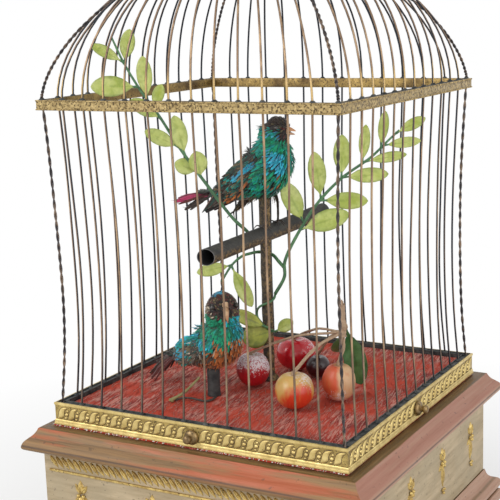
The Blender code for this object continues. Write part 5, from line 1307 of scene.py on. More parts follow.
class AUTOMATON_OT_tree(bpy.types.Operator):
    """Wraps the post, perch and stump in paper and hangs the leafy sprays, vine and fallen twig"""
    bl_idname = "automaton.tree"
    bl_label = "Tree and Sprays"

    def execute(self, context):
        settings = context.scene.automaton_tree
        paper = wrapped_paper_finish("post_paper", (0.010, 0.012, 0.014), (0.035, 0.034, 0.030), 1.0)
        dull = wrapped_paper_finish("perch_paper", (0.022, 0.024, 0.024), (0.075, 0.070, 0.062), 0.0)
        slate = slate_finish()
        low, high = corners("tree_post")
        chance = Random(2)
        shape = Shape()
        base = low.z
        outer = [(7.2, base), (7.2, base + 1.2), (5.6, base + 2.6)] + [
            (4.2 + chance.uniform(-0.18, 0.12), base + 4 + (high.z - base - 4) * k / 44) for k in range(45)]
        shape.lathe(outer, at=(TREE.x, TREE.y, 0), steps=28, caps=False,
                    lumps=lambda a, z: 1 + 0.02 * sin(3 * a + z * 0.21))
        shape.skin([[(TREE.x + r * cos(a), TREE.y + r * sin(a), z) for a in wheel(28)]
                    for r, z in ((4.1, high.z), (2.4, high.z), (2.4, base), (7.2, base))], caps=False)
        shape.make("papered_post", [paper], stands_for=("tree_post",), slot="bark_paper", sharp=50)
        self.perch(dull, chance)
        low, high = corners("stump")
        shape = Shape()
        rings = []
        for r, z in ((2.4, low.z), (5.1, low.z), (4.9, low.z + 1.5), (4.7, low.z + 8), (4.75, high.z - 6),
                     (4.8, high.z - 0.4), (4.4, high.z), (2.4, high.z), (2.4, low.z)):
            rings.append([(STUMP.x + r * cos(a) * (1 + 0.03 * sin(2 * a + z)), STUMP.y + r * sin(a), z)
                          for a in wheel(28)])
        shape.skin(rings, caps=False)
        shape.make("slate_stump", [slate], stands_for=("stump",), slot="bark_paper", sharp=50)
        shaded = leaf_finish("shaded_leaf", (0.15, 0.19, 0.018), (0.40, 0.42, 0.05), (0.045, 0.085, 0.012))
        finishes = [leaf_finish("waxed_leaf", settings.leaf, settings.leaf_pale, (0.19, 0.27, 0.04)),
                    stem_finish(settings), shaded]
        for seed, (node, stems, radius, leaves) in enumerate(SPRAYS):
            spray = spray_shape(stems, leaves, 30 + seed, radius)
            spray.make(node + "_leaves", finishes, stands_for=(node,), slot="leaf_green")
        self.fallen()
        return {"FINISHED"}

    def perch(self, paper, chance):
        """The hollow perch: its cut left end with painted shade in its bore, its paper and the three seams
        along it.
        """
        centre = Vector((TREE.x, TREE.y, FLOOR_Z + 113.9))
        rise, swing = radians(4.3), radians(8.3)
        along = Vector((sin(swing) * cos(rise), cos(swing) * cos(rise), sin(rise)))
        across = along.cross(UP).normalized()
        up = across.cross(along)
        steps = 32
        shape = Shape()

        def ring(place, radius, rough=0.0):
            slant = 2.4 * max(0.0, 1 - (place + 70) / 12)
            return [centre + along * (place + slant * (cos(2 * pi * k / steps) - 0.2))
                    + (across * cos(2 * pi * k / steps) + up * sin(2 * pi * k / steps))
                    * radius * (1 + rough * sin(5.3 * k + place)) for k in range(steps)]

        rings = [ring(-30, 0.01), ring(-30, 5.8), ring(-69.5, 5.8), ring(-70, 5.9), ring(-70, 6.2),
                 ring(-69.6, 6.3)]
        for k in range(1, 37):
            rings.append(ring(-69.6 + k * 147.4 / 37, 6.3 - chance.uniform(0, 0.12), 0.008))
        rings += [ring(77.7, 6.3), ring(78, 6.1), ring(78, 0.01)]
        # The bore, in the near-black finish: painted shade inside the tube.
        shape.skin(rings[:3], caps=False, finish=1)
        shape.skin(rings[2:6], caps=False, finish=2)
        shape.skin(rings[5:], caps=False)
        for angle in (80, 200, 320):
            wide = radians(2)
            strip = []
            for k in range(30):
                place = -68 + k * 4.9
                ridge = ((radians(angle) + turn, 6.3 + h)
                         for turn, h in ((-wide, -0.1), (0, 0.16), (wide, -0.1)))
                strip.append([centre + along * place + (across * cos(a) + up * sin(a)) * r for a, r in ridge])
            shape.skin(strip, around=False)
        # The bore seen through the cut end is near black: painted shade inside the tube.
        hollow = plain_finish("hollow_painted_shade", (0.004, 0.004, 0.005), 0.9)
        rim = plain_finish("worn_rim", (0.17, 0.165, 0.16), 0.6)
        shape.make("papered_perch", [paper, hollow, rim], stands_for=("perch_tube",), slot="bark_paper",
                   sharp=50)

    def fallen(self):
        """The fallen twig by the stump, with its worn end, and the bent wire beside it."""
        chance = Random(6)
        olive = plain_finish("dry_twig", (0.30, 0.27, 0.11), 0.7)
        wire = plain_finish("bent_iron", (0.075, 0.07, 0.06), 0.6, 0.4)
        foot = Vector((STUMP.x - 20.4, STUMP.y - 27.0, FLOOR_Z + 1.6))
        shape = Shape()
        path = curve_through([foot, (STUMP.x - 14, STUMP.y - 18.5, FLOOR_Z + 6),
                              (STUMP.x - 6.5, STUMP.y - 9, FLOOR_Z + 15.5)], 16)
        shape.tube(path, knobby([1.3 - 0.03 * k for k in range(16)], chance, 0.1), 9)
        shape.lathe([(0, 1.2), (1.3, 0.9), (2.0, 0.1), (1.9, -0.7), (0.8, -1.3), (0, -1.4)], at=foot,
                    steps=12, axis=(0.4, 0.3, 1))
        shape.make("fallen_twig_bark", [olive], stands_for=("fallen_twig",), slot="leaf_green", sharp=50)
        shape = Shape()
        bent = [(-19, -24.5, 0.9), (-14, -21, 2.2), (-8, -20, 2.6), (-2, -20, 2.2), (3, -18, 1.2),
                (5.6, -13, 1.0), (5.5, -7, 1.0)]
        path = curve_through([(STUMP.x + x, STUMP.y + y, FLOOR_Z + z) for x, y, z in bent], 30)
        shape.tube(path, knobby([0.8] * 30, chance, 0.15), 8)
        shape.make("bent_wire", [wire], slot="bark_paper")


# Fruit

# (name, half width, depth of the seam, paint)
FRUIT = (
    ("frosted_plum", 12.8, 0, dict(
        lit=(0.46, 0.010, 0.018), blush=(0.30, 0.01, 0.03), toward=(-0.3, 0.2, 0.8),
        dark=(0.16, 0.004, 0.014), frost=1.0, frost_way=(0.15, 0.0, 1.0), frost_at=-0.25, gloss=0.32)),
    ("red_plum", 15.2, 0.05, dict(
        lit=(0.56, 0.012, 0.022), blush=(0.30, 0.006, 0.012), toward=(-0.7, 0.5, 0.2),
        dark=(0.34, 0.006, 0.014), frost=0.85, frost_way=(0.8, 0.45, 0.5), frost_at=0.58, gloss=0.16)),
    ("blush_apple", 13.8, 0.03, dict(
        lit=(0.60, 0.37, 0.10), blush=(0.62, 0.045, 0.014), toward=(0.48, -0.65, -0.42),
        dark=(0.60, 0.22, 0.05), second=(-0.95, -0.2, -0.2), start=0.46, fade=0.3,
        frost=0.8, frost_way=(0.75, 0.05, 0.65), frost_at=0.55, gloss=0.3)),
    ("peach", 12.0, 0.12, dict(
        lit=(0.62, 0.38, 0.20), blush=(0.60, 0.095, 0.035), toward=(-0.80, -0.55, 0.05),
        dark=(0.52, 0.17, 0.06), start=0.02, fade=0.3,
        frost=0.6, frost_way=(0.0, -0.4, -0.9), frost_at=0.45, gloss=0.45)),
    ("dark_cherry", 9.5, 0, dict(
        lit=(0.035, 0.003, 0.006), blush=(0.015, 0.002, 0.004), toward=(0, 0, 1), gloss=0.3)),
)


class AUTOMATON_OT_fruit(bpy.types.Operator):
    """Models the cotton fruit with their dimples, seam and bloom, and ties their papered stems"""
    bl_idname = "automaton.fruit"
    bl_label = "Fruit"

    def execute(self, context):
        made = []
        for name, wide, seam, paint in FRUIT:
            low, high = corners(name)
            centre = (low + high) / 2
            tall = (high.z - low.z) / 2
            shape = Shape()
            chance = Random(name)
            phase = chance.uniform(0, 6)
            profile = []
            steps = 26
            for k in range(steps + 1):
                angle = -pi / 2 + pi * k / steps
                dimple = 1 - 0.2 * max(sin(angle), 0) ** 14 - 0.05 * max(-sin(angle), 0) ** 8
                profile.append((wide * cos(angle) ** 0.94 if 0 < k < steps else 0,
                                tall * sin(angle) * dimple))

            def lumps(angle, h):
                groove = seam * 2.718 ** (-((angle - radians(302) + pi) % (2 * pi) - pi) ** 2 / 0.035)
                waves = 0.014 * sin(2 * angle + phase) + 0.010 * sin(5 * angle + 2 * phase + h * 0.3)
                return 1 + waves - groove

            shape.lathe(profile, at=centre, steps=56, lumps=lumps)
            made.append((centre, tall))
            slot = "fruit_yellow" if name in ("blush_apple", "peach") else "fruit_red"
            shape.make(name + "_cotton", [fruit_finish(name + "_paint", centre=centre, **paint)],
                       stands_for=(name,), slot=slot)
        self.stems(made)
        return {"FINISHED"}

    def stems(self, made):
        """Each fruit's stem bends up to the bundle, where paper is wound round them with two dark leaves."""
        chance = Random(77)
        paper = plain_finish("tan_paper", (0.50, 0.34, 0.22), 0.75, clouds=320.0, bump=0.7)
        dark = leaf_finish("dark_leaf", (0.012, 0.085, 0.02), (0.06, 0.20, 0.07), (0.005, 0.03, 0.01), 0.34)
        foot = Vector((71.0, -24.0, FLOOR_Z + 51))
        shape = Shape()
        for centre, tall in made:
            top = Vector((centre.x, centre.y, centre.z - tall + 2 * tall * 0.95 + 0.9))
            bend = (top + foot) / 2 + UP * 5
            if hypot(top.x - foot.x, top.y - foot.y) < 6:
                bend = (top + foot) / 2 + Vector((2, 0, 0))
            path = curve_through([top - UP * 3, top, bend, foot + UP * 1.5, foot + UP * 12], 30)
            for strand in range(3):
                start = 2 * pi * strand / 3 + chance.uniform(0, 1)
                wound = []
                for k, at in enumerate(path):
                    angle = start + 0.42 * k
                    wide = 0.55 + 0.35 * sin(pi * k / 29)
                    wound.append(at + Vector((cos(angle), sin(angle), 0)) * wide)
                shape.tube(wound, knobby([0.72] * 30, chance, 0.2), 6)
        rings = []
        for k in range(26):
            h = -2.5 + 23.5 * k / 25
            radius = 2.75 - 0.035 * k + (0.28 if k % 3 == 0 else 0) + chance.uniform(-0.1, 0.1)
            rings.append([foot + UP * h + Vector((cos(a), sin(a), 0)) * radius * (1 + 0.07 * cos(2 * a + k))
                          for a in wheel(18)])
        shape.skin(rings)
        for k in range(4):
            out = Vector((cos(k * 1.7), sin(k * 1.7), 0))
            shape.tube([foot + UP * 15 + out, foot + UP * (22 + k) + out * (1.6 + 0.3 * k)], [0.8, 0.5], 7)
        for root, tip, width in (((2, 1.5, 5), (3, 25, -46), 17), ((0, 0, 0), (-15, 18, -20), 9)):
            leaf_blade(shape, foot + Vector(root), foot + Vector(tip), (0.5, -0.8, 0.2), width, chance,
                       finish=1)
        shape.make("papered_stems", [paper, dark], stands_for=("fruit_stems",), slot="bark_paper", sharp=60)


# Birds

# (name, colour at a feather's root, at its tip, of its streaks)
HUES = (
    ("teal", (0.0, 0.085, 0.075), (0.0, 0.30, 0.25), (0.02, 0.46, 0.42)),
    # The cyan's pale streaks are partly the feathers' own colour and partly painted glints of the bright
    # breast.
    ("cyan", (0.0, 0.20, 0.30), (0.03, 0.52, 0.70), (0.32, 0.78, 0.88)),
    ("emerald", (0.0, 0.09, 0.045), (0.0, 0.33, 0.16), (0.02, 0.48, 0.25)),
    ("forest", (0.006, 0.012, 0.010), (0.015, 0.075, 0.055), (0.05, 0.14, 0.11)),
    ("rust", (0.15, 0.042, 0.012), (0.56, 0.17, 0.042), (0.68, 0.30, 0.11)),
    ("olive", (0.035, 0.028, 0.012), (0.19, 0.14, 0.065), (0.28, 0.22, 0.12)),
    ("sable", (0.006, 0.005, 0.004), (0.045, 0.028, 0.020), (0.13, 0.07, 0.045)),
    ("rose", (0.09, 0.008, 0.02), (0.50, 0.035, 0.13), (0.62, 0.14, 0.22)),
    ("ash", (0.035, 0.032, 0.028), (0.16, 0.135, 0.11), (0.34, 0.30, 0.24)),
    ("azure", (0.015, 0.10, 0.18), (0.08, 0.40, 0.60), (0.25, 0.58, 0.75)),
    ("maroon", (0.02, 0.005, 0.005), (0.12, 0.026, 0.022), (0.20, 0.06, 0.04)),
    ("fawn", (0.30, 0.24, 0.16), (0.68, 0.58, 0.44), (0.80, 0.74, 0.64)),
)
HUE = {row[0]: k for k, row in enumerate(HUES)}
HORN, EYE = len(HUES), len(HUES) + 1
PLUMAGE = []
OVER_PERCH = 259.2  # height of the perch's top under the upper bird's feet
COVERTS = 330


def raised(rows, by):
    """Rows of (forward, height, ...) lifted by so much."""
    return [(x, by + z, *rest) for x, z, *rest in rows]


class BirdPlace:
    """Turns a bird's own (forward, side, height) into the model's frame."""

    def __init__(self, x, y, heading):
        self.origin = Vector((x, y, 0))
        self.forward = Vector((cos(radians(heading)), sin(radians(heading)), 0))
        self.side = Vector((-self.forward.y, self.forward.x, 0))

    def __call__(self, forward, side, height):
        return self.origin + self.forward * forward + self.side * side + UP * height


class Hide:
    """A bird's skin as rings round its spine, which gives feathers their place and lie. Turn 0 is the front.
    The stations are (forward, height, half depth, half width), from the neck down or, if rising, upward."""

    def __init__(self, place_at, stations, count=40, rows=44, rising=False, snug=1.0):
        fine = curve_through(stations, rows)
        self.rings, self.middles = [], []
        for k, (x, z, deep, wide) in enumerate(fine):
            before, after = fine[max(k - 1, 0)], fine[min(k + 1, rows - 1)]
            run = Vector((after[0] - before[0], after[1] - before[1]))
            if k == 0:
                run = Vector((0, after[1] - before[1]))
            run.normalize()
            across = Vector((run.y, -run.x)) if rising else Vector((-run.y, run.x))
            self.middles.append(place_at(x, 0, z))
            self.rings.append([place_at(x + across.x * deep * snug * cos(a), wide * snug * sin(a),
                                        z + across.y * deep * snug * cos(a))
                               for a in wheel(count)])

    def spot(self, share, turn):
        """Point, outward direction and the way towards the last ring."""
        rows, count = len(self.rings), len(self.rings[0])
        row = share * (rows - 1.001)
        i, t = int(row), row - int(row)
        place = (turn / (2 * pi) % 1) * count
        j, s = int(place) % count, place - int(place)
        near = self.rings[i][j].lerp(self.rings[i][(j + 1) % count], s)
        far = self.rings[i + 1][j].lerp(self.rings[i + 1][(j + 1) % count], s)
        over = self.rings[i][(j + 1) % count] - self.rings[i][j]
        point = near.lerp(far, t)
        along = (far - near).normalized()
        normal = along.cross(over).normalized()
        if normal.dot(point - self.middles[i]) < 0:
            normal = -normal
        return point, normal, along


def barb(shape, root, lie, normal, length, width, lift, hue, tone, bend=0.0):
    """A small feather lying on the skin: a low ridge down its middle and a blunt tip that stands off."""
    lie = (lie - lie.project(normal)).normalized()
    side = lie.cross(normal)
    rings = []
    for share, spread in ((0, 0.4), (0.3, 0.95), (0.62, 1.0), (0.86, 0.62), (1.0, 0.14)):
        half = width / 2 * spread
        height = lift * share ** 1.6 - 0.3 * (1 - share)
        at = root + lie * length * share + side * bend * share ** 2 + normal * height
        rings.append(section(at, side, normal, ((-half, 0), (0, 0.1 + half * 0.24), (half, 0))))
    shape.skin(rings, [0.08, tone * 0.5, tone * 0.8, tone * 0.95, tone], HUE[hue])


def quill(shape, points, normal, width, hue, tone, chance, tip=0.25, thick=0.5, steps=10, edge=None):
    """A long feather along a path: a shaft with a sloping, slightly nicked vane on either side."""
    path = curve_through(points, steps)
    rings, tints = [], []
    for k, at in enumerate(path):
        share = k / (steps - 1)
        along = heading(path, k)
        side = along.cross(normal).normalized()
        up = side.cross(along)
        spread = min(1.0, 0.32 + share * 2.4) * (1 - (1 - tip) * max(0.0, (share - 0.66) / 0.34) ** 1.8)
        left, right = (width / 2 * spread * chance.uniform(0.86, 1.08) for _ in range(2))
        rings.append(section(at, side, up * thick, (
            (-left, -0.45), (-left * 0.5, 0.3), (-0.15, 0.45), (0, 0.75), (0.15, 0.45), (right * 0.5, 0.3),
            (right, -0.45), (0, -0.55))))
        tints.append(0.15 + tone * share ** 0.5)
    start = len(shape.faces)
    shape.skin(rings, tints, HUE[hue])
    if edge:
        for k in range(start, len(shape.faces) - 2):
            if (k - start) % 8 in (5, 6):
                shape.finishes[k] = HUE[edge]


def tuft(shape, root, way, chance, count, length, hue, spread=0.35):
    """A few loose hairs from one root."""
    for _ in range(count):
        lie = (way + Vector([chance.uniform(-spread, spread) for _ in range(3)])).normalized()
        normal = lie.orthogonal()
        barb(shape, root + Vector([chance.uniform(-1, 1) for _ in range(3)]), lie, normal.normalized(),
             length * chance.uniform(0.6, 1.1), 0.5, 0.4, hue, chance.uniform(0.3, 1))


def clothe(shape, hide, count, region, chance, ruffle, lie_of=None, avoid=()):
    """Scatters small feathers over a hide; region gives hue, length and width for (share, turn)."""
    for k in range(count):
        share = (k + chance.random()) / count
        turn = chance.uniform(0, 2 * pi)
        found = region(share, turn, chance)
        if not found:
            continue
        hue, length, width = found
        point, normal, along = hide.spot(share, turn)
        if any((point - spot).length < reach for spot, reach in avoid):
            continue
        lie = lie_of(point) if lie_of else along
        lie = lie - lie.project(normal)
        if lie.length < 0.05:
            lie = along
        lie = Matrix.Rotation(chance.gauss(0, ruffle), 3, normal) @ lie.normalized()
        barb(shape, point, lie, normal, length * chance.uniform(0.6, 1.05), width * chance.uniform(1.0, 1.7),
             chance.uniform(0.1, 0.5), hue, chance.uniform(0.1, 1.0), chance.uniform(-0.6, 0.6))


class Wing:
    """A folded wing: stations of (forward, height, out to the side, half breadth, half thickness)."""

    def __init__(self, place_at, stations, side):
        self.place_at, self.side = place_at, side
        self.fine = curve_through(stations, 41)

    def point(self, share, v, out=0.0):
        """v is 1 along the wing's upper back edge and -1 along its lower front edge."""
        x, z, reach, deep, thick = self.fine[min(int(round(share * 40)), 40)]
        bulge = thick * max(1 - v * v, 0) ** 0.5 + out
        return self.place_at(x - deep * 0.55 * v, self.side * (reach + bulge), z + deep * 0.84 * v)

    def outward(self, v):
        """Which way the wing's surface faces."""
        up = Vector((-self.place_at.forward * 0.55) + UP * 0.84)
        return (self.place_at.side * self.side + up * v * 0.5).normalized()

    def skin(self, shape, hue):
        """The flesh under the feathers."""
        rings = []
        for k in range(0, 41, 2):
            x, z, reach, deep, thick = self.fine[k]
            rings.append([self.place_at(x + deep * 0.5 * cos(a), self.side * (reach + thick * 0.85 * sin(a)),
                                        z - deep * 0.76 * cos(a)) for a in wheel(14)])
        shape.skin(rings, 0.1, HUE[hue])

    def clothe(self, shape, chance, region, flights, flight_hue, edge):
        """Long flight feathers from the wing's front to its tip, and small coverts over their roots."""
        run = (self.point(1, 0) - self.point(0, 0)).normalized()
        for k in range(flights):
            place = k / (flights - 1)
            v0, v1 = -0.8 + 1.45 * place, -0.75 + 1.2 * place
            end = 0.62 + 0.38 * place ** 0.8
            out = 0.3 + 0.16 * k
            points = [self.point(0.2 + 0.12 * place, v0, out * 0.3),
                      self.point((0.3 + end) / 2, (v0 + v1) / 2, out + 0.3),
                      self.point(end, v1, out * 0.7) + run * 2]
            quill(shape, points, self.outward(v0), 3.9 - 0.9 * place, flight_hue(place, chance),
                  chance.uniform(0.2, 0.9), chance, edge=edge if chance.random() < 0.6 else None)
        for k in range(COVERTS):
            share = 0.62 * (k + chance.random()) / COVERTS
            v = chance.uniform(-0.95, 0.98)
            hue, length, width = region(share, v, chance)
            lie = Matrix.Rotation(chance.gauss(0, 0.2), 3, self.place_at.side) @ run
            barb(shape, self.point(share, v, 0.4), lie, self.outward(v), length * 0.85, width * 1.3,
                 chance.uniform(0.2, 0.8), hue, chance.uniform(0.2, 1.0), chance.uniform(-0.6, 0.6))


def feathered_trunk(bird, settings, chance, place_at, body, wing, lie, hues, flights, flight_hue):
    """A bird's trunk and folded wings. The hues are of its skin, its wings and its flight feathers' edges."""
    skin, flesh, edge = hues
    shape = Shape()
    shape.skin(Hide(place_at, body, 32, 26, snug=0.95).rings, 0.15, HUE[skin])
    clothe(shape, Hide(place_at, body), settings.body_feathers, bird.region, chance, settings.ruffle,
           lambda p: lie)
    for side in (-1, 1):
        folded = Wing(place_at, wing, side)
        folded.skin(shape, flesh)
        folded.clothe(shape, chance, bird.coverts, flights, flight_hue, edge)
    return shape


def leg(shape, path, toes):
    """A thin scaly leg and its curved toes."""
    run = curve_through(path, 18)
    shape.tube(run, [0.85 * (1 + 0.12 * (k % 2)) * (1.25 - 0.4 * k / 17) for k in range(18)], 8,
               finish=HUE["sable"])
    foot = Vector(path[-1])
    for toe in toes:
        bend = [foot, foot + Vector(toe[0]), foot + Vector(toe[1])]
        shape.tube(curve_through(bend, 8), [0.7 - 0.07 * k for k in range(8)], 7, finish=HUE["sable"])


def thigh(shape, start, end, wide, chance, hues):
    """A feathered leg that narrows towards the foot."""
    run = end - start
    shape.tube([start + run * (k / 8) for k in range(9)], [wide * (1 - 0.09 * k) for k in range(9)], 10,
               0.2, HUE[hues[0]])
    for _ in range(150):
        share = chance.random()
        out = Matrix.Rotation(chance.uniform(0, 2 * pi), 3, run) @ run.orthogonal().normalized()
        barb(shape, start + run * share * 0.92 + out * wide * (1 - 0.72 * share), run, out,
             chance.uniform(3, 5.5), 1.1, chance.uniform(0.1, 0.5), chance.choice(hues), chance.random())


def plumage():
    """The birds' feather finishes in the order of the hues, then their horn and their eye."""
    if not PLUMAGE:
        PLUMAGE.extend(feather_finish(name + "_feather", root, tip, streak)
                       for name, root, tip, streak in HUES)
        PLUMAGE.append(horn_finish())
        eye = Finish("glass_eye", roughness=0.06, coat_weight=0.6, coat_roughness=0.03)
        eye.set("Base Color", eye.mix(eye.between(eye.grain(900.0), 0.4, 0.6), (0.004, 0.003, 0.002),
                                      (0.03, 0.015, 0.006)))
        PLUMAGE.append(eye.material)
    return PLUMAGE


# Sections of the beak's halves: (beside, above), in shares of its width and height
UPPER_BEAK = ((1, -0.35), (0.98, 0.1), (0.9, 0.38), (0.66, 0.70), (0.32, 0.92), (0, 1.0), (-0.32, 0.92),
              (-0.66, 0.70), (-0.9, 0.38), (-0.98, 0.1), (-1, -0.35))
LOWER_BEAK = ((1, 1.0), (0.97, 0.4), (0.7, -0.5), (0.3, -0.9), (-0.3, -0.9), (-0.7, -0.5), (-0.97, 0.4),
              (-1, 1.0), (-0.5, 0.8), (0.5, 0.8))


class Head:
    """Skull, eyes and both halves of the beak of a bird that faces a heading from its neck. The beak is
    (root forward, root height, slope, length, depth, angle of the lower half)."""

    def __init__(self, prefix, face, neck_z, rings, beak):
        self.prefix, self.face, self.neck_z = prefix, face, neck_z
        self.rings = raised(rings, neck_z)
        root_x, root_z, slope, self.length, self.deep, rest = beak
        self.root = (root_x, neck_z + root_z)
        self.slope, self.rest = radians(slope), radians(-rest)

    def upper(self, along, side, lift):
        """A point along, beside and above the beak's line."""
        return self.face(self.root[0] + along * cos(self.slope) - lift * sin(self.slope), side,
                         self.root[1] + along * sin(self.slope) + lift * cos(self.slope))

    def build(self, settings, region, chance, eye_at, horn_tip, density=1.0):
        """The eyes are at (forward, out, height) with a radius; the horn's tint runs between two values."""
        shape = Shape()
        hide = Hide(self.face, self.rings, rising=True)
        shape.skin(Hide(self.face, self.rings, 32, 24, rising=True, snug=0.95).rings, 0.1, HUE["sable"])
        away = self.upper(1.5, 0, 0.5)
        ahead = self.face.forward
        spots = []
        x, out, z, size = eye_at
        for side in (-1, 1):
            at = self.face(x, side * out, self.neck_z + z)
            outward = (self.face.side * side + ahead * 0.45 + UP * 0.12).normalized()
            ball = ((0, 0.85), (0.5, 0.72), (0.86, 0.4), (1, 0), (0.8, -1))
            lid = ((1.28, -0.6), (1.36, 0.1), (1.2, 0.42), (0.98, 0.3), (0.9, -0.5))
            shape.lathe([(size * r, size * h) for r, h in ball], at, outward, 16, finish=EYE)
            shape.lathe([(size * r, h) for r, h in lid], at, outward, 16, tint=0.2, finish=HUE["sable"])
            spots.append((at, size + 1.5))
        spots.append((self.upper(2.0, 0, -1.5), 3.4))
        clothe(shape, hide, int(settings.head_feathers * density), region, chance, settings.ruffle,
               lambda p: (p - away).normalized() - ahead * 0.55 - UP * 0.25, spots)
        for _ in range(26):
            turn = chance.uniform(0, 2 * pi)
            point = self.upper(-0.4, 2.3 * cos(turn), self.deep * 0.55 + 1.6 * sin(turn))
            barb(shape, point, ahead * 0.6 + (point - self.upper(0, 0, 1)), self.face.side.cross(ahead), 2.6,
                 0.5, 0.2, "sable", chance.uniform(0.2, 1))
        self.beak_half(shape, horn_tip)
        shape.make(self.prefix + "_head_plumage", plumage(), self.prefix[:5] + "_head",
                   stands_for=(self.prefix + "_head",), slot="feather_head", sharp=60)
        self.lower_half(horn_tip)

    def beak_half(self, shape, horn_tip):
        """The upper half: ridged along the top, drawn to a point that bends down a little."""
        pale, red = horn_tip
        rings, tints = [], []
        for k in range(13):
            share = k / 12
            along = -4.5 + (self.length + 4.5) * share
            wide = 2.7 * (1 - share ** 1.5) + 0.22
            tall = self.deep * (1 - share ** 1.35) + 0.4
            dip = -0.7 * max(0.0, share - 0.72) / 0.28
            rings.append([self.upper(along, side * wide, (lift * tall if lift > 0 else lift) + dip)
                          for side, lift in UPPER_BEAK])
            tints.append(pale + (red - pale) * share)
        shape.skin(rings, tints, HORN)

    def lower_half(self, horn_tip):
        """The lower half: a shallow trough under the upper one."""
        pale, red = horn_tip
        shape = Shape()
        rings, tints = [], []
        for k in range(11):
            share = k / 10
            along = -0.6 + (self.length - 0.3) * share
            wide = 2.15 * (1 - share ** 1.7) + 0.2
            deep = 1.3 * (1 - share ** 1.4)
            ring = []
            for side, lift in LOWER_BEAK:
                rise = 1.0 if lift == 1.0 else (0.75 if lift == 0.8 else lift * deep + (1 - deep / 1.3) * 0.5)
                ahead = along * cos(self.rest) - rise * sin(self.rest)
                below = along * sin(self.rest) + rise * cos(self.rest) - 1.4
                ring.append(self.upper(ahead, side * wide, below))
            rings.append(ring)
            tints.append(pale + (red - pale) * share)
        shape.skin(rings, tints, HORN)
        shape.make(self.prefix + "_lower_beak_horn", plumage(), self.prefix[:5] + "_beak",
                   stands_for=(self.prefix + "_lower_beak",), slot="beak_horn", sharp=60)


def tail(prefix, place_at, root, drop, power, feathers, chance):
    """Long feathers from a hinged root, with shorter coverts over them. A feather is (angle in plan, length,
    width, hue, dip); drop and power say how the tail's curve falls."""
    x, z = root
    shape = Shape()
    for k, (angle, length, width, hue, dip) in enumerate(feathers):
        out = radians(angle)
        path = []
        for share in (0, 0.25, 0.5, 0.75, 1.0):
            run = length * share
            sag = (drop + dip) * share ** power - 0.35 * (k % 4) * share
            path.append(place_at(x - run * cos(out), run * sin(out), z - sag))
        quill(shape, path, UP * 0.45 - place_at.side * 0.9, width, hue, chance.uniform(0.35, 0.9), chance,
              tip=0.3, thick=0.7, steps=14)
        for _ in range(7):
            share = chance.uniform(0.55, 1.0)
            at = curve_through(path, 21)[int(share * 20)]
            barb(shape, at, (path[-1] - path[-2]).normalized() + place_at.side * chance.uniform(-0.5, 0.5),
                 UP, chance.uniform(3, 6), 0.5, 0.4, hue, chance.uniform(0.3, 1))
    shape.lathe([(0, 2.2), (2.2, 1.6), (3.0, 0), (2.2, -1.8), (0, -2.2)], at=place_at(x - 1.5, 0, z),
                axis=place_at.side, steps=16, finish=HUE["forest"])
    for _ in range(110):
        start = place_at(x - chance.uniform(0, 9), chance.uniform(-3.4, 3.4), z + chance.uniform(-1.0, 1.6))
        barb(shape, start, -place_at.forward - UP * 0.3 + place_at.side * chance.uniform(-0.3, 0.3), UP,
             chance.uniform(5, 10), chance.uniform(0.7, 1.4), 0.5, chance.choice(("forest", "sable", "ash")),
             chance.uniform(0.2, 1))
    shape.make(prefix + "_tail_plumage", plumage(), prefix[:5] + "_tail", stands_for=(prefix + "_tail",),
               slot="feather_tail", sharp=60)


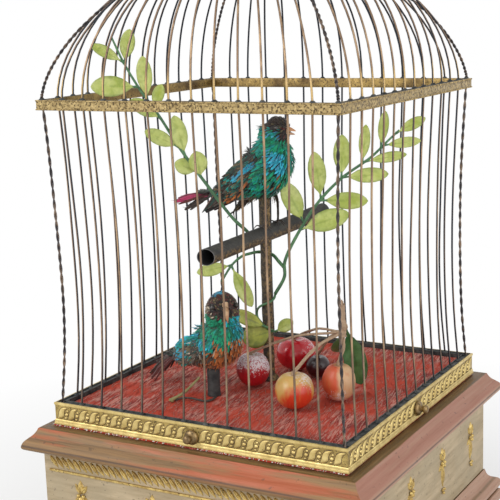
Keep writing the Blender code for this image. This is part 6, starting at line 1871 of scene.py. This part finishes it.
class AUTOMATON_OT_upper_bird(bpy.types.Operator):
    """Feathers the bird on the perch: teal breast with a bright patch, dark streaked wings, rosy tail"""
    bl_idname = "automaton.upper_bird"
    bl_label = "Upper Bird"

    def execute(self, context):
        settings = context.scene.automaton_birds
        chance = Random(101)
        place_at = BirdPlace(TREE.x, TREE.y, 0.0)
        top = POST_TOP
        body = raised((
            (9.2, 40.0, 11.6, 10.0), (8.5, 32.5, 15.0, 12.5), (6.5, 23.0, 17.8, 15.2),
            (-1.5, 14.5, 18.4, 16.6), (-12.5, 9.5, 15.0, 15.4), (-23.0, 4.8, 11.4, 12.8),
            (-33.0, 1.2, 7.6, 9.4), (-41.0, -1.8, 4.2, 5.4)), top)
        wing = raised((
            (4, 26, 12.0, 7.5, 2.8), (-8, 16, 14.4, 10.0, 3.4), (-22, 4.5, 12.2, 8.6, 3.0),
            (-36, -6.5, 8.6, 5.2, 2.2), (-48, -15.5, 6.0, 1.8, 1.2)), top)
        shape = feathered_trunk(self, settings, chance, place_at, body, wing, -place_at.forward - UP * 0.75,
                                ("forest", "sable", "rust"), 11,
                                lambda place, c: c.choice(("sable", "sable", "forest", "forest", "ash")))
        perch = OVER_PERCH - POST_TOP
        for side in (-1, 1):
            sign = 1 if side < 0 else -1
            run = ((5, 8 * side, 0), (6.5, 9 * side, -7), (5.5, 10.5 * side, perch + 2.6),
                   (2.5, 11 * side, perch + 1.4))
            leg(shape, [place_at(x, y, top + z) for x, y, z in run],
                (((3.5, -3.0 * sign, 0.9), (6.8, -4.8 * sign, -2.6)), ((4.2, 0.6, 0.9), (7.6, 1.0, -2.9)),
                 ((3.2, 3.4 * sign, 0.9), (6.2, 5.8 * sign, -2.2)), ((-3.4, 0.2, 0.4), (-6.4, 0.2, -2.6))))
            tuft(shape, place_at(4, 8 * side, top - 1), Vector((0.3, 0.1 * side, -1)), chance, 26, 8, "olive")
        leg(shape, [place_at(x, y, top + z) for x, y, z in ((-18, 6, 0), (-25, 6.5, -9), (-31, 7, -17))],
            (((-2.4, -1.5, -1.8), (-4.2, -3.2, -4.6)), ((-3.0, 0.5, -1.6), (-5.4, 0.8, -3.8)),
             ((-1, 1.6, -2.4), (-1.2, 3, -5))))
        thigh(shape, place_at(-11, 6, top + 1), place_at(-28, 7, top - 14.5), 5.2, chance,
              ("olive", "sable", "ash"))
        for angle in range(34):
            out = place_at(-4 + 9 * cos(angle), 8 * sin(angle), top - 2.4)
            tuft(shape, out, Vector((-0.1, 0, -1)), chance, 3, 3.2, "olive", 0.6)
        shape.make("upper_bird_plumage", plumage(), stands_for=("upper_bird_body",), slot="feather_body",
                   sharp=60)
        neck = place_at(9.2, 0, 0)
        head = Head("upper_bird", BirdPlace(neck.x, neck.y, 0.0), top + 40.3, (
            (0, 0, 11.2, 9.8), (1.6, 4.0, 11.0, 10.2), (3.0, 8.5, 10.4, 9.8), (3.2, 12.4, 8.0, 7.6),
            (2.8, 15.2, 4.0, 4.0), (2.6, 16.2, 0.8, 0.8)), (12.0, 6.6, 8.0, 7.0, 5.0, 24.0))
        head.build(settings, self.face, chance, (7.4, 8.3, 9.6, 1.7), (0.35, 0.75))
        tail("upper_bird", place_at, (-41.9, top - 1.8), 10.0, 1.3,
             ((-11, 35, 4.6, "rose", -2.4), (-4, 37, 5.6, "sable", -1.6), (3, 36, 4.4, "rose", -3.4),
              (9, 34, 4.4, "maroon", -2), (-9, 27, 4.6, "sable", 3.6), (0, 29, 4.6, "sable", 5.0),
              (6, 26, 4.2, "ash", 5.5), (-13, 31, 3.0, "maroon", 0.2)), chance)
        return {"FINISHED"}

    @staticmethod
    def region(share, turn, chance):
        """Hue, length and width of a trunk feather; turn 0 is the breast and half a turn is the back."""
        front, near = cos(turn), -sin(turn)
        mixed = chance.random()
        share += chance.gauss(0, 0.02)
        front += chance.gauss(0, 0.10)
        if front < -0.35:
            if share < 0.12 and mixed < 0.8:
                return ("teal", 8, 1.3)
            return (chance.choice(("forest", "forest", "sable", "olive")), 8, 1.3)
        if share < 0.10:
            return ("emerald" if mixed < 0.75 else "teal", 6.5, 1.1)
        if share < 0.28 and 0.35 < front < 0.92 and near > 0.15:
            return ("cyan" if mixed < 0.8 else "azure", 7, 1.1)
        if share > 0.46 and share < 0.64 and front > 0.8:
            return ("olive" if mixed < 0.7 else "sable", 7, 0.9)
        if share < 0.64:
            if mixed < 0.17:
                return ("rust" if mixed < 0.05 else "forest", 7, 1.0)
            return ("teal" if mixed < 0.58 else "emerald", 7.5, 1.2)
        return (chance.choice(("sable", "forest", "forest", "ash")) if mixed < 0.85 else "rust", 7, 1.3)

    @staticmethod
    def coverts(share, v, chance):
        """Hue, length and width of a small wing feather; v is 1 at the wing's upper edge."""
        mixed = chance.random()
        if v < -0.62 and share > 0.22:
            return ("rust" if mixed < 0.6 else "sable", 8, 1.1)
        if 0.04 < share < 0.30 and -0.15 < v - (share - 0.15) * 0.6 < 0.3:
            return ("cyan" if mixed < 0.55 else "azure", 9, 1.2)
        return (chance.choice(("forest", "forest", "sable", "olive", "teal")), 8, 1.5)

    @staticmethod
    def face(share, turn, chance):
        """Hue, length and width of a head feather; share runs up from the neck."""
        front, near, mixed = cos(turn), abs(sin(turn)), chance.random()
        share += chance.gauss(0, 0.03)
        if share < 0.20:
            return ("emerald" if front > 0.1 or mixed < 0.3 else "teal", 5.5, 1.0)
        if share < 0.42 and front < -0.5:
            return ("teal", 5.5, 1.1)
        if share < 0.48 and near > 0.45 and -0.1 < front < 0.8:
            return (("azure", "teal", "teal", "emerald")[int(mixed * 4)], 4.2, 0.9)
        if share < 0.6:
            return (chance.choice(("sable", "sable", "sable", "olive", "maroon")), 4, 0.9)
        if front < -0.5 and 0.66 < share < 0.82 and mixed < 0.7:
            return ("azure", 4.5, 1.0)
        return ("sable", 4, 0.95)


class AUTOMATON_OT_lower_bird(bpy.types.Operator):
    """Feathers the bird on the stump: blue crown, emerald neck, orange breast, dark curled tail"""
    bl_idname = "automaton.lower_bird"
    bl_label = "Lower Bird"

    def execute(self, context):
        settings = context.scene.automaton_birds
        chance = Random(202)
        place_at = BirdPlace(STUMP.x, STUMP.y, -11.0)
        top = STUMP_TOP
        body = raised(((11.0, 32.5, 12.4, 11.4), (10.5, 25.0, 15.2, 14.4), (7.0, 17.0, 17.2, 16.6),
                       (-1.5, 11.5, 15.2, 15.6), (-12.0, 8.0, 11.2, 13.0), (-22.0, 3.4, 7.6, 9.6),
                       (-30.0, 0.4, 4.2, 5.6)), top)
        wing = raised((
            (4, 20, 13.0, 7.5, 2.8), (-8, 13, 14.2, 9.0, 3.4), (-20, 5.5, 11.4, 6.6, 2.8),
            (-31, -0.5, 7.6, 2.4, 1.6)), top)
        shape = feathered_trunk(self, settings, chance, place_at, body, wing, -place_at.forward * 0.4 - UP,
                                ("ash", "ash", "azure"), 9,
                                lambda place, c: "sable" if place > 0.7 else c.choice(
                                    ("ash", "ash", "forest", "azure")))
        for _ in range(26):
            turn = chance.uniform(0, 2 * pi)
            root = place_at(-2 + 9 * cos(turn), 8 * sin(turn), top - 1.0)
            hue = chance.choice(("ash", "olive", "rust"))
            tuft(shape, root, Vector((0, 0, -1)), chance, 3, 3.6, hue, 0.7)
        shape.make("lower_bird_plumage", plumage(), stands_for=("lower_bird_body",), slot="feather_body",
                   sharp=60)
        neck = place_at(11.0, 0, 0)
        head = Head("lower_bird", BirdPlace(neck.x, neck.y, -46.0), top + 32.8, (
            (0, 0, 12.0, 11.2), (0.6, 6.0, 13.6, 12.0), (0.8, 12.0, 13.2, 11.4), (0.4, 17.0, 10.0, 9.0),
            (0, 20.6, 5.0, 5.0), (0, 21.8, 0.8, 0.8)), (12.2, 11.4, -50.0, 9.6, 4.4, 0.0))
        head.build(settings, self.face, chance, (9.2, 8.8, 13.6, 1.7), (0.0, 0.9), 1.3)
        tail("lower_bird", place_at, (-30.9, top + 0.4), 19.5, 1.9,
             ((-16, 28, 5.5, "maroon", 1.0), (-6, 32, 5.5, "maroon", 0), (5, 33, 5.5, "sable", -2),
              (15, 29, 5.5, "maroon", 0), (-24, 24, 3.4, "maroon", 2.0), (24, 27, 3.4, "sable", -3),
              (10, 35, 3.0, "maroon", -6), (-11, 31, 3.4, "sable", -1)), chance)
        return {"FINISHED"}

    @staticmethod
    def region(share, turn, chance):
        """Hue, length and width of a trunk feather, as for the upper bird."""
        front, near = cos(turn), -sin(turn)
        mixed = chance.random()
        share += chance.gauss(0, 0.025)
        front += chance.gauss(0, 0.10)
        if share < (0.13 if front > 0.3 and near < 0.4 else 0.20):
            if front > 0.45 and near < 0.35:
                return ("cyan" if mixed < 0.5 else "teal", 6.5, 1.1)
            return ("emerald" if mixed < 0.8 else "teal", 6.5, 1.2)
        if front > 0.42 and share < 0.72:
            if mixed < 0.07:
                return ("fawn", 7, 0.8)
            return ("rust" if mixed < 0.9 else "olive", 7.5, 1.2)
        if share < 0.34:
            return (chance.choice(("teal", "cyan", "teal", "azure")), 7, 1.3)
        if front < -0.5:
            return (chance.choice(("teal", "ash", "forest")), 8, 1.4)
        if mixed < 0.1:
            return ("fawn", 6, 0.9)
        return (chance.choice(("ash", "ash", "ash", "olive", "sable")), 7.5, 1.2)

    @staticmethod
    def coverts(share, v, chance):
        """Hue, length and width of a small wing feather; v is 1 at the wing's upper edge."""
        mixed = chance.random()
        if v > 0.45 and share < 0.5:
            return (chance.choice(("cyan", "teal", "teal")), 8, 1.4)
        if share > 0.3 and -0.3 < v < 0.4 and mixed < 0.5:
            return ("azure" if mixed < 0.3 else "cyan", 8, 1.3)
        if mixed < 0.12:
            return ("fawn", 6, 0.9)
        return (chance.choice(("ash", "ash", "ash", "olive", "teal")), 7.5, 1.4)

    @staticmethod
    def face(share, turn, chance):
        """Hue, length and width of a head feather; share runs up from the neck."""
        front, side, mixed = cos(turn), -sin(turn), chance.random()
        share += chance.gauss(0, 0.03)
        if share < 0.24:
            if side < 0.0 and front > -0.2:
                return ("cyan" if mixed < 0.45 else "teal", 4.6, 1.1)
            return ("emerald", 4.6, 1.1)
        if share > 0.74 and side > -0.15:
            return ("azure" if mixed < 0.85 else "sable", 3.2, 1.1)
        if 0.24 < share < 0.5 and side > 0.5 and mixed < 0.5:
            return ("fawn" if mixed < 0.3 else "ash", 3.2, 0.8)
        return (chance.choice(("maroon", "maroon", "sable", "sable", "olive")), 2.9, 1.1)


# Movement

class AUTOMATON_OT_movement(bpy.types.Operator):
    """Gives the clockwork, levers, key, bellows and whistle their brass, steel, leather and wood"""
    bl_idname = "automaton.movement"
    bl_label = "Movement"

    def execute(self, context):
        brass = brushed_finish("movement_brass", (0.62, 0.44, 0.16), 0.3)
        steel = brushed_finish("blued_steel", (0.26, 0.27, 0.29), 0.32)
        leather = plain_finish("bellows_leather", (0.40, 0.27, 0.17), 0.75, clouds=160.0, bump=0.6)
        lacquer = gilt_finish("lever_gilt", (0.62, 0.47, 0.18), (0.30, 0.21, 0.08), spots=0.24)
        dress(brass, "movement_frame", "mainspring_barrel", "cam_stack", "intermediate_wheel", "governor_fly",
              "whistle_tube")
        dress(steel, "winding_key", "head_lever", "beak_lever", "tail_lever", "upper_push_rod",
              "lower_push_rod")
        dress(lacquer, "start_stop_lever")
        dress(leather, "bellows_feeder", "whistle_piston")
        dress(wood_finish("bellows_wood", (0.20, 0.11, 0.05), (0.38, 0.24, 0.12)), "bellows_base")
        return {"FINISHED"}


# Stage

class AUTOMATON_OT_stage(bpy.types.Operator):
    """Sets the pale floor, the soft lamps, the surroundings and the camera"""
    bl_idname = "automaton.stage"
    bl_label = "Stage"

    def execute(self, context):
        settings = context.scene.automaton_stage
        self.floor()
        self.lamp("key_light", (-620, -1000, 900), 0.9, settings.key_power)
        self.lamp("fill_light", (1100, -500, 500), 1.2, settings.key_power * 0.72)
        self.surroundings(settings)
        self.camera(settings)
        context.scene.view_settings.view_transform = "Standard"
        return {"FINISHED"}

    def floor(self):
        """A round sheet of white paper that shines where it is seen, more so away from the object."""
        data = bpy.data.meshes.new("pale_floor")
        rim = [(4 * cos(a), 4 * sin(a), 0) for a in wheel(64)]
        data.from_pydata(rim, [], [tuple(range(len(rim)))])
        made = bpy.data.objects.new("pale_floor", data)
        bpy.context.scene.collection.objects.link(made)
        f = Finish("floor_paper", roughness=0.9)
        grain = f.grain(4.0)
        f.set("Base Color", f.mix(grain, (0.86, 0.86, 0.855), (0.90, 0.90, 0.895)))
        far = f.between(f.vector("LENGTH", f.vector("MULTIPLY", f.place, (1, 1, 0))), 0.22, 0.55)
        glow = f.node("ShaderNodeEmission", {"Color": (1, 1, 1), "Strength": 1.0}).outputs[0]
        share = f.times(f.seen(), f.plus(f.times(far, 0.5), 0.5))
        mixed = f.node("ShaderNodeMixShader", {0: share, 1: f.skin.outputs[0], 2: glow})
        f.tree.links.new(mixed.outputs[0], f.tree.nodes["Material Output"].inputs["Surface"])
        data.materials.append(f.material)

    def lamp(self, name, at, size, power):
        """A round soft lamp that faces the middle of the cage."""
        data = bpy.data.lights.new(name, "AREA")
        data.shape = "DISK"
        data.size = size
        data.energy = power
        made = bpy.data.objects.new(name, data)
        at, aim = Vector(at) * MM, UP * 220 * MM
        turn = (at - aim).to_track_quat("Z", "Y").to_matrix()
        made.matrix_world = Matrix.Translation(at) @ turn.to_4x4()
        bpy.context.scene.collection.objects.link(made)

    def surroundings(self, settings):
        """White where it is seen, dimmer where it only lights."""
        world = bpy.data.worlds.new("studio")
        bpy.context.scene.world = world
        world.use_nodes = True
        work = Nodes(world.node_tree)
        strength = work.plus(settings.sky, work.times(work.seen(), 1.0 - settings.sky))
        back = world.node_tree.nodes["Background"]
        work.put(back.inputs["Color"], (1, 1, 1))
        work.put(back.inputs["Strength"], strength)

    def camera(self, settings):
        """Stands the camera where the picture was taken; the small shift only places the frame."""
        yaw, pitch, roll = (radians(turn) for turn in CAMERA_TURNS)
        ahead = Vector((-sin(yaw) * cos(pitch), cos(yaw) * cos(pitch), -sin(pitch)))
        right = Vector((cos(yaw), sin(yaw), 0))
        up = right.cross(ahead)
        tilted_right = right * cos(roll) + up * sin(roll)
        tilted_up = up * cos(roll) - right * sin(roll)
        data = bpy.data.cameras.new("camera")
        data.lens = settings.lens
        data.sensor_width = 36.0
        data.sensor_fit = "HORIZONTAL"
        data.shift_x, data.shift_y = CAMERA_SHIFT
        data.clip_start, data.clip_end = 0.05, 20.0
        made = bpy.data.objects.new("camera", data)
        turn = Matrix((tilted_right, tilted_up, -ahead)).transposed().to_4x4()
        made.matrix_world = Matrix.Translation(Vector(CAMERA_AT) * MM) @ turn
        bpy.context.scene.collection.objects.link(made)
        bpy.context.scene.camera = made


class AUTOMATON_PT_looks(bpy.types.Panel):
    """Lists the automaton's pieces and their settings"""
    bl_idname = "AUTOMATON_PT_looks"
    bl_label = "Singing Bird Automaton"
    bl_space_type = "VIEW_3D"
    bl_region_type = "UI"
    bl_category = "Automaton"

    def draw(self, context):
        column = self.layout.column(align=True)
        for operator in OPERATORS:
            column.operator(operator.bl_idname)
        for key, settings in SETTINGS.items():
            box = self.layout.box()
            for name in settings.__annotations__:
                box.prop(getattr(context.scene, "automaton_" + key), name)


OPERATORS = (AUTOMATON_OT_stage, AUTOMATON_OT_giltwood_base, AUTOMATON_OT_floor_mat,
             AUTOMATON_OT_gallery_strip, AUTOMATON_OT_cage_wires, AUTOMATON_OT_shoulder_band,
             AUTOMATON_OT_crown_and_knobs, AUTOMATON_OT_tree, AUTOMATON_OT_fruit, AUTOMATON_OT_upper_bird,
             AUTOMATON_OT_lower_bird, AUTOMATON_OT_movement)
SETTINGS = {"cage": CageSettings, "base": BaseSettings, "tree": TreeSettings, "birds": BirdSettings,
            "stage": StageSettings}


def register():
    for made in (*SETTINGS.values(), *OPERATORS, AUTOMATON_PT_looks):
        bpy.utils.register_class(made)
    for key, settings in SETTINGS.items():
        setattr(bpy.types.Scene, "automaton_" + key, PointerProperty(type=settings))


def unregister():
    for key in SETTINGS:
        delattr(bpy.types.Scene, "automaton_" + key)
    for made in (AUTOMATON_PT_looks, *reversed(OPERATORS), *SETTINGS.values()):
        bpy.utils.unregister_class(made)


def main():
    register()
    for operator in OPERATORS:
        place, name = operator.bl_idname.split(".")
        getattr(getattr(bpy.ops, place), name)()


if __name__ == "__main__":
    main()
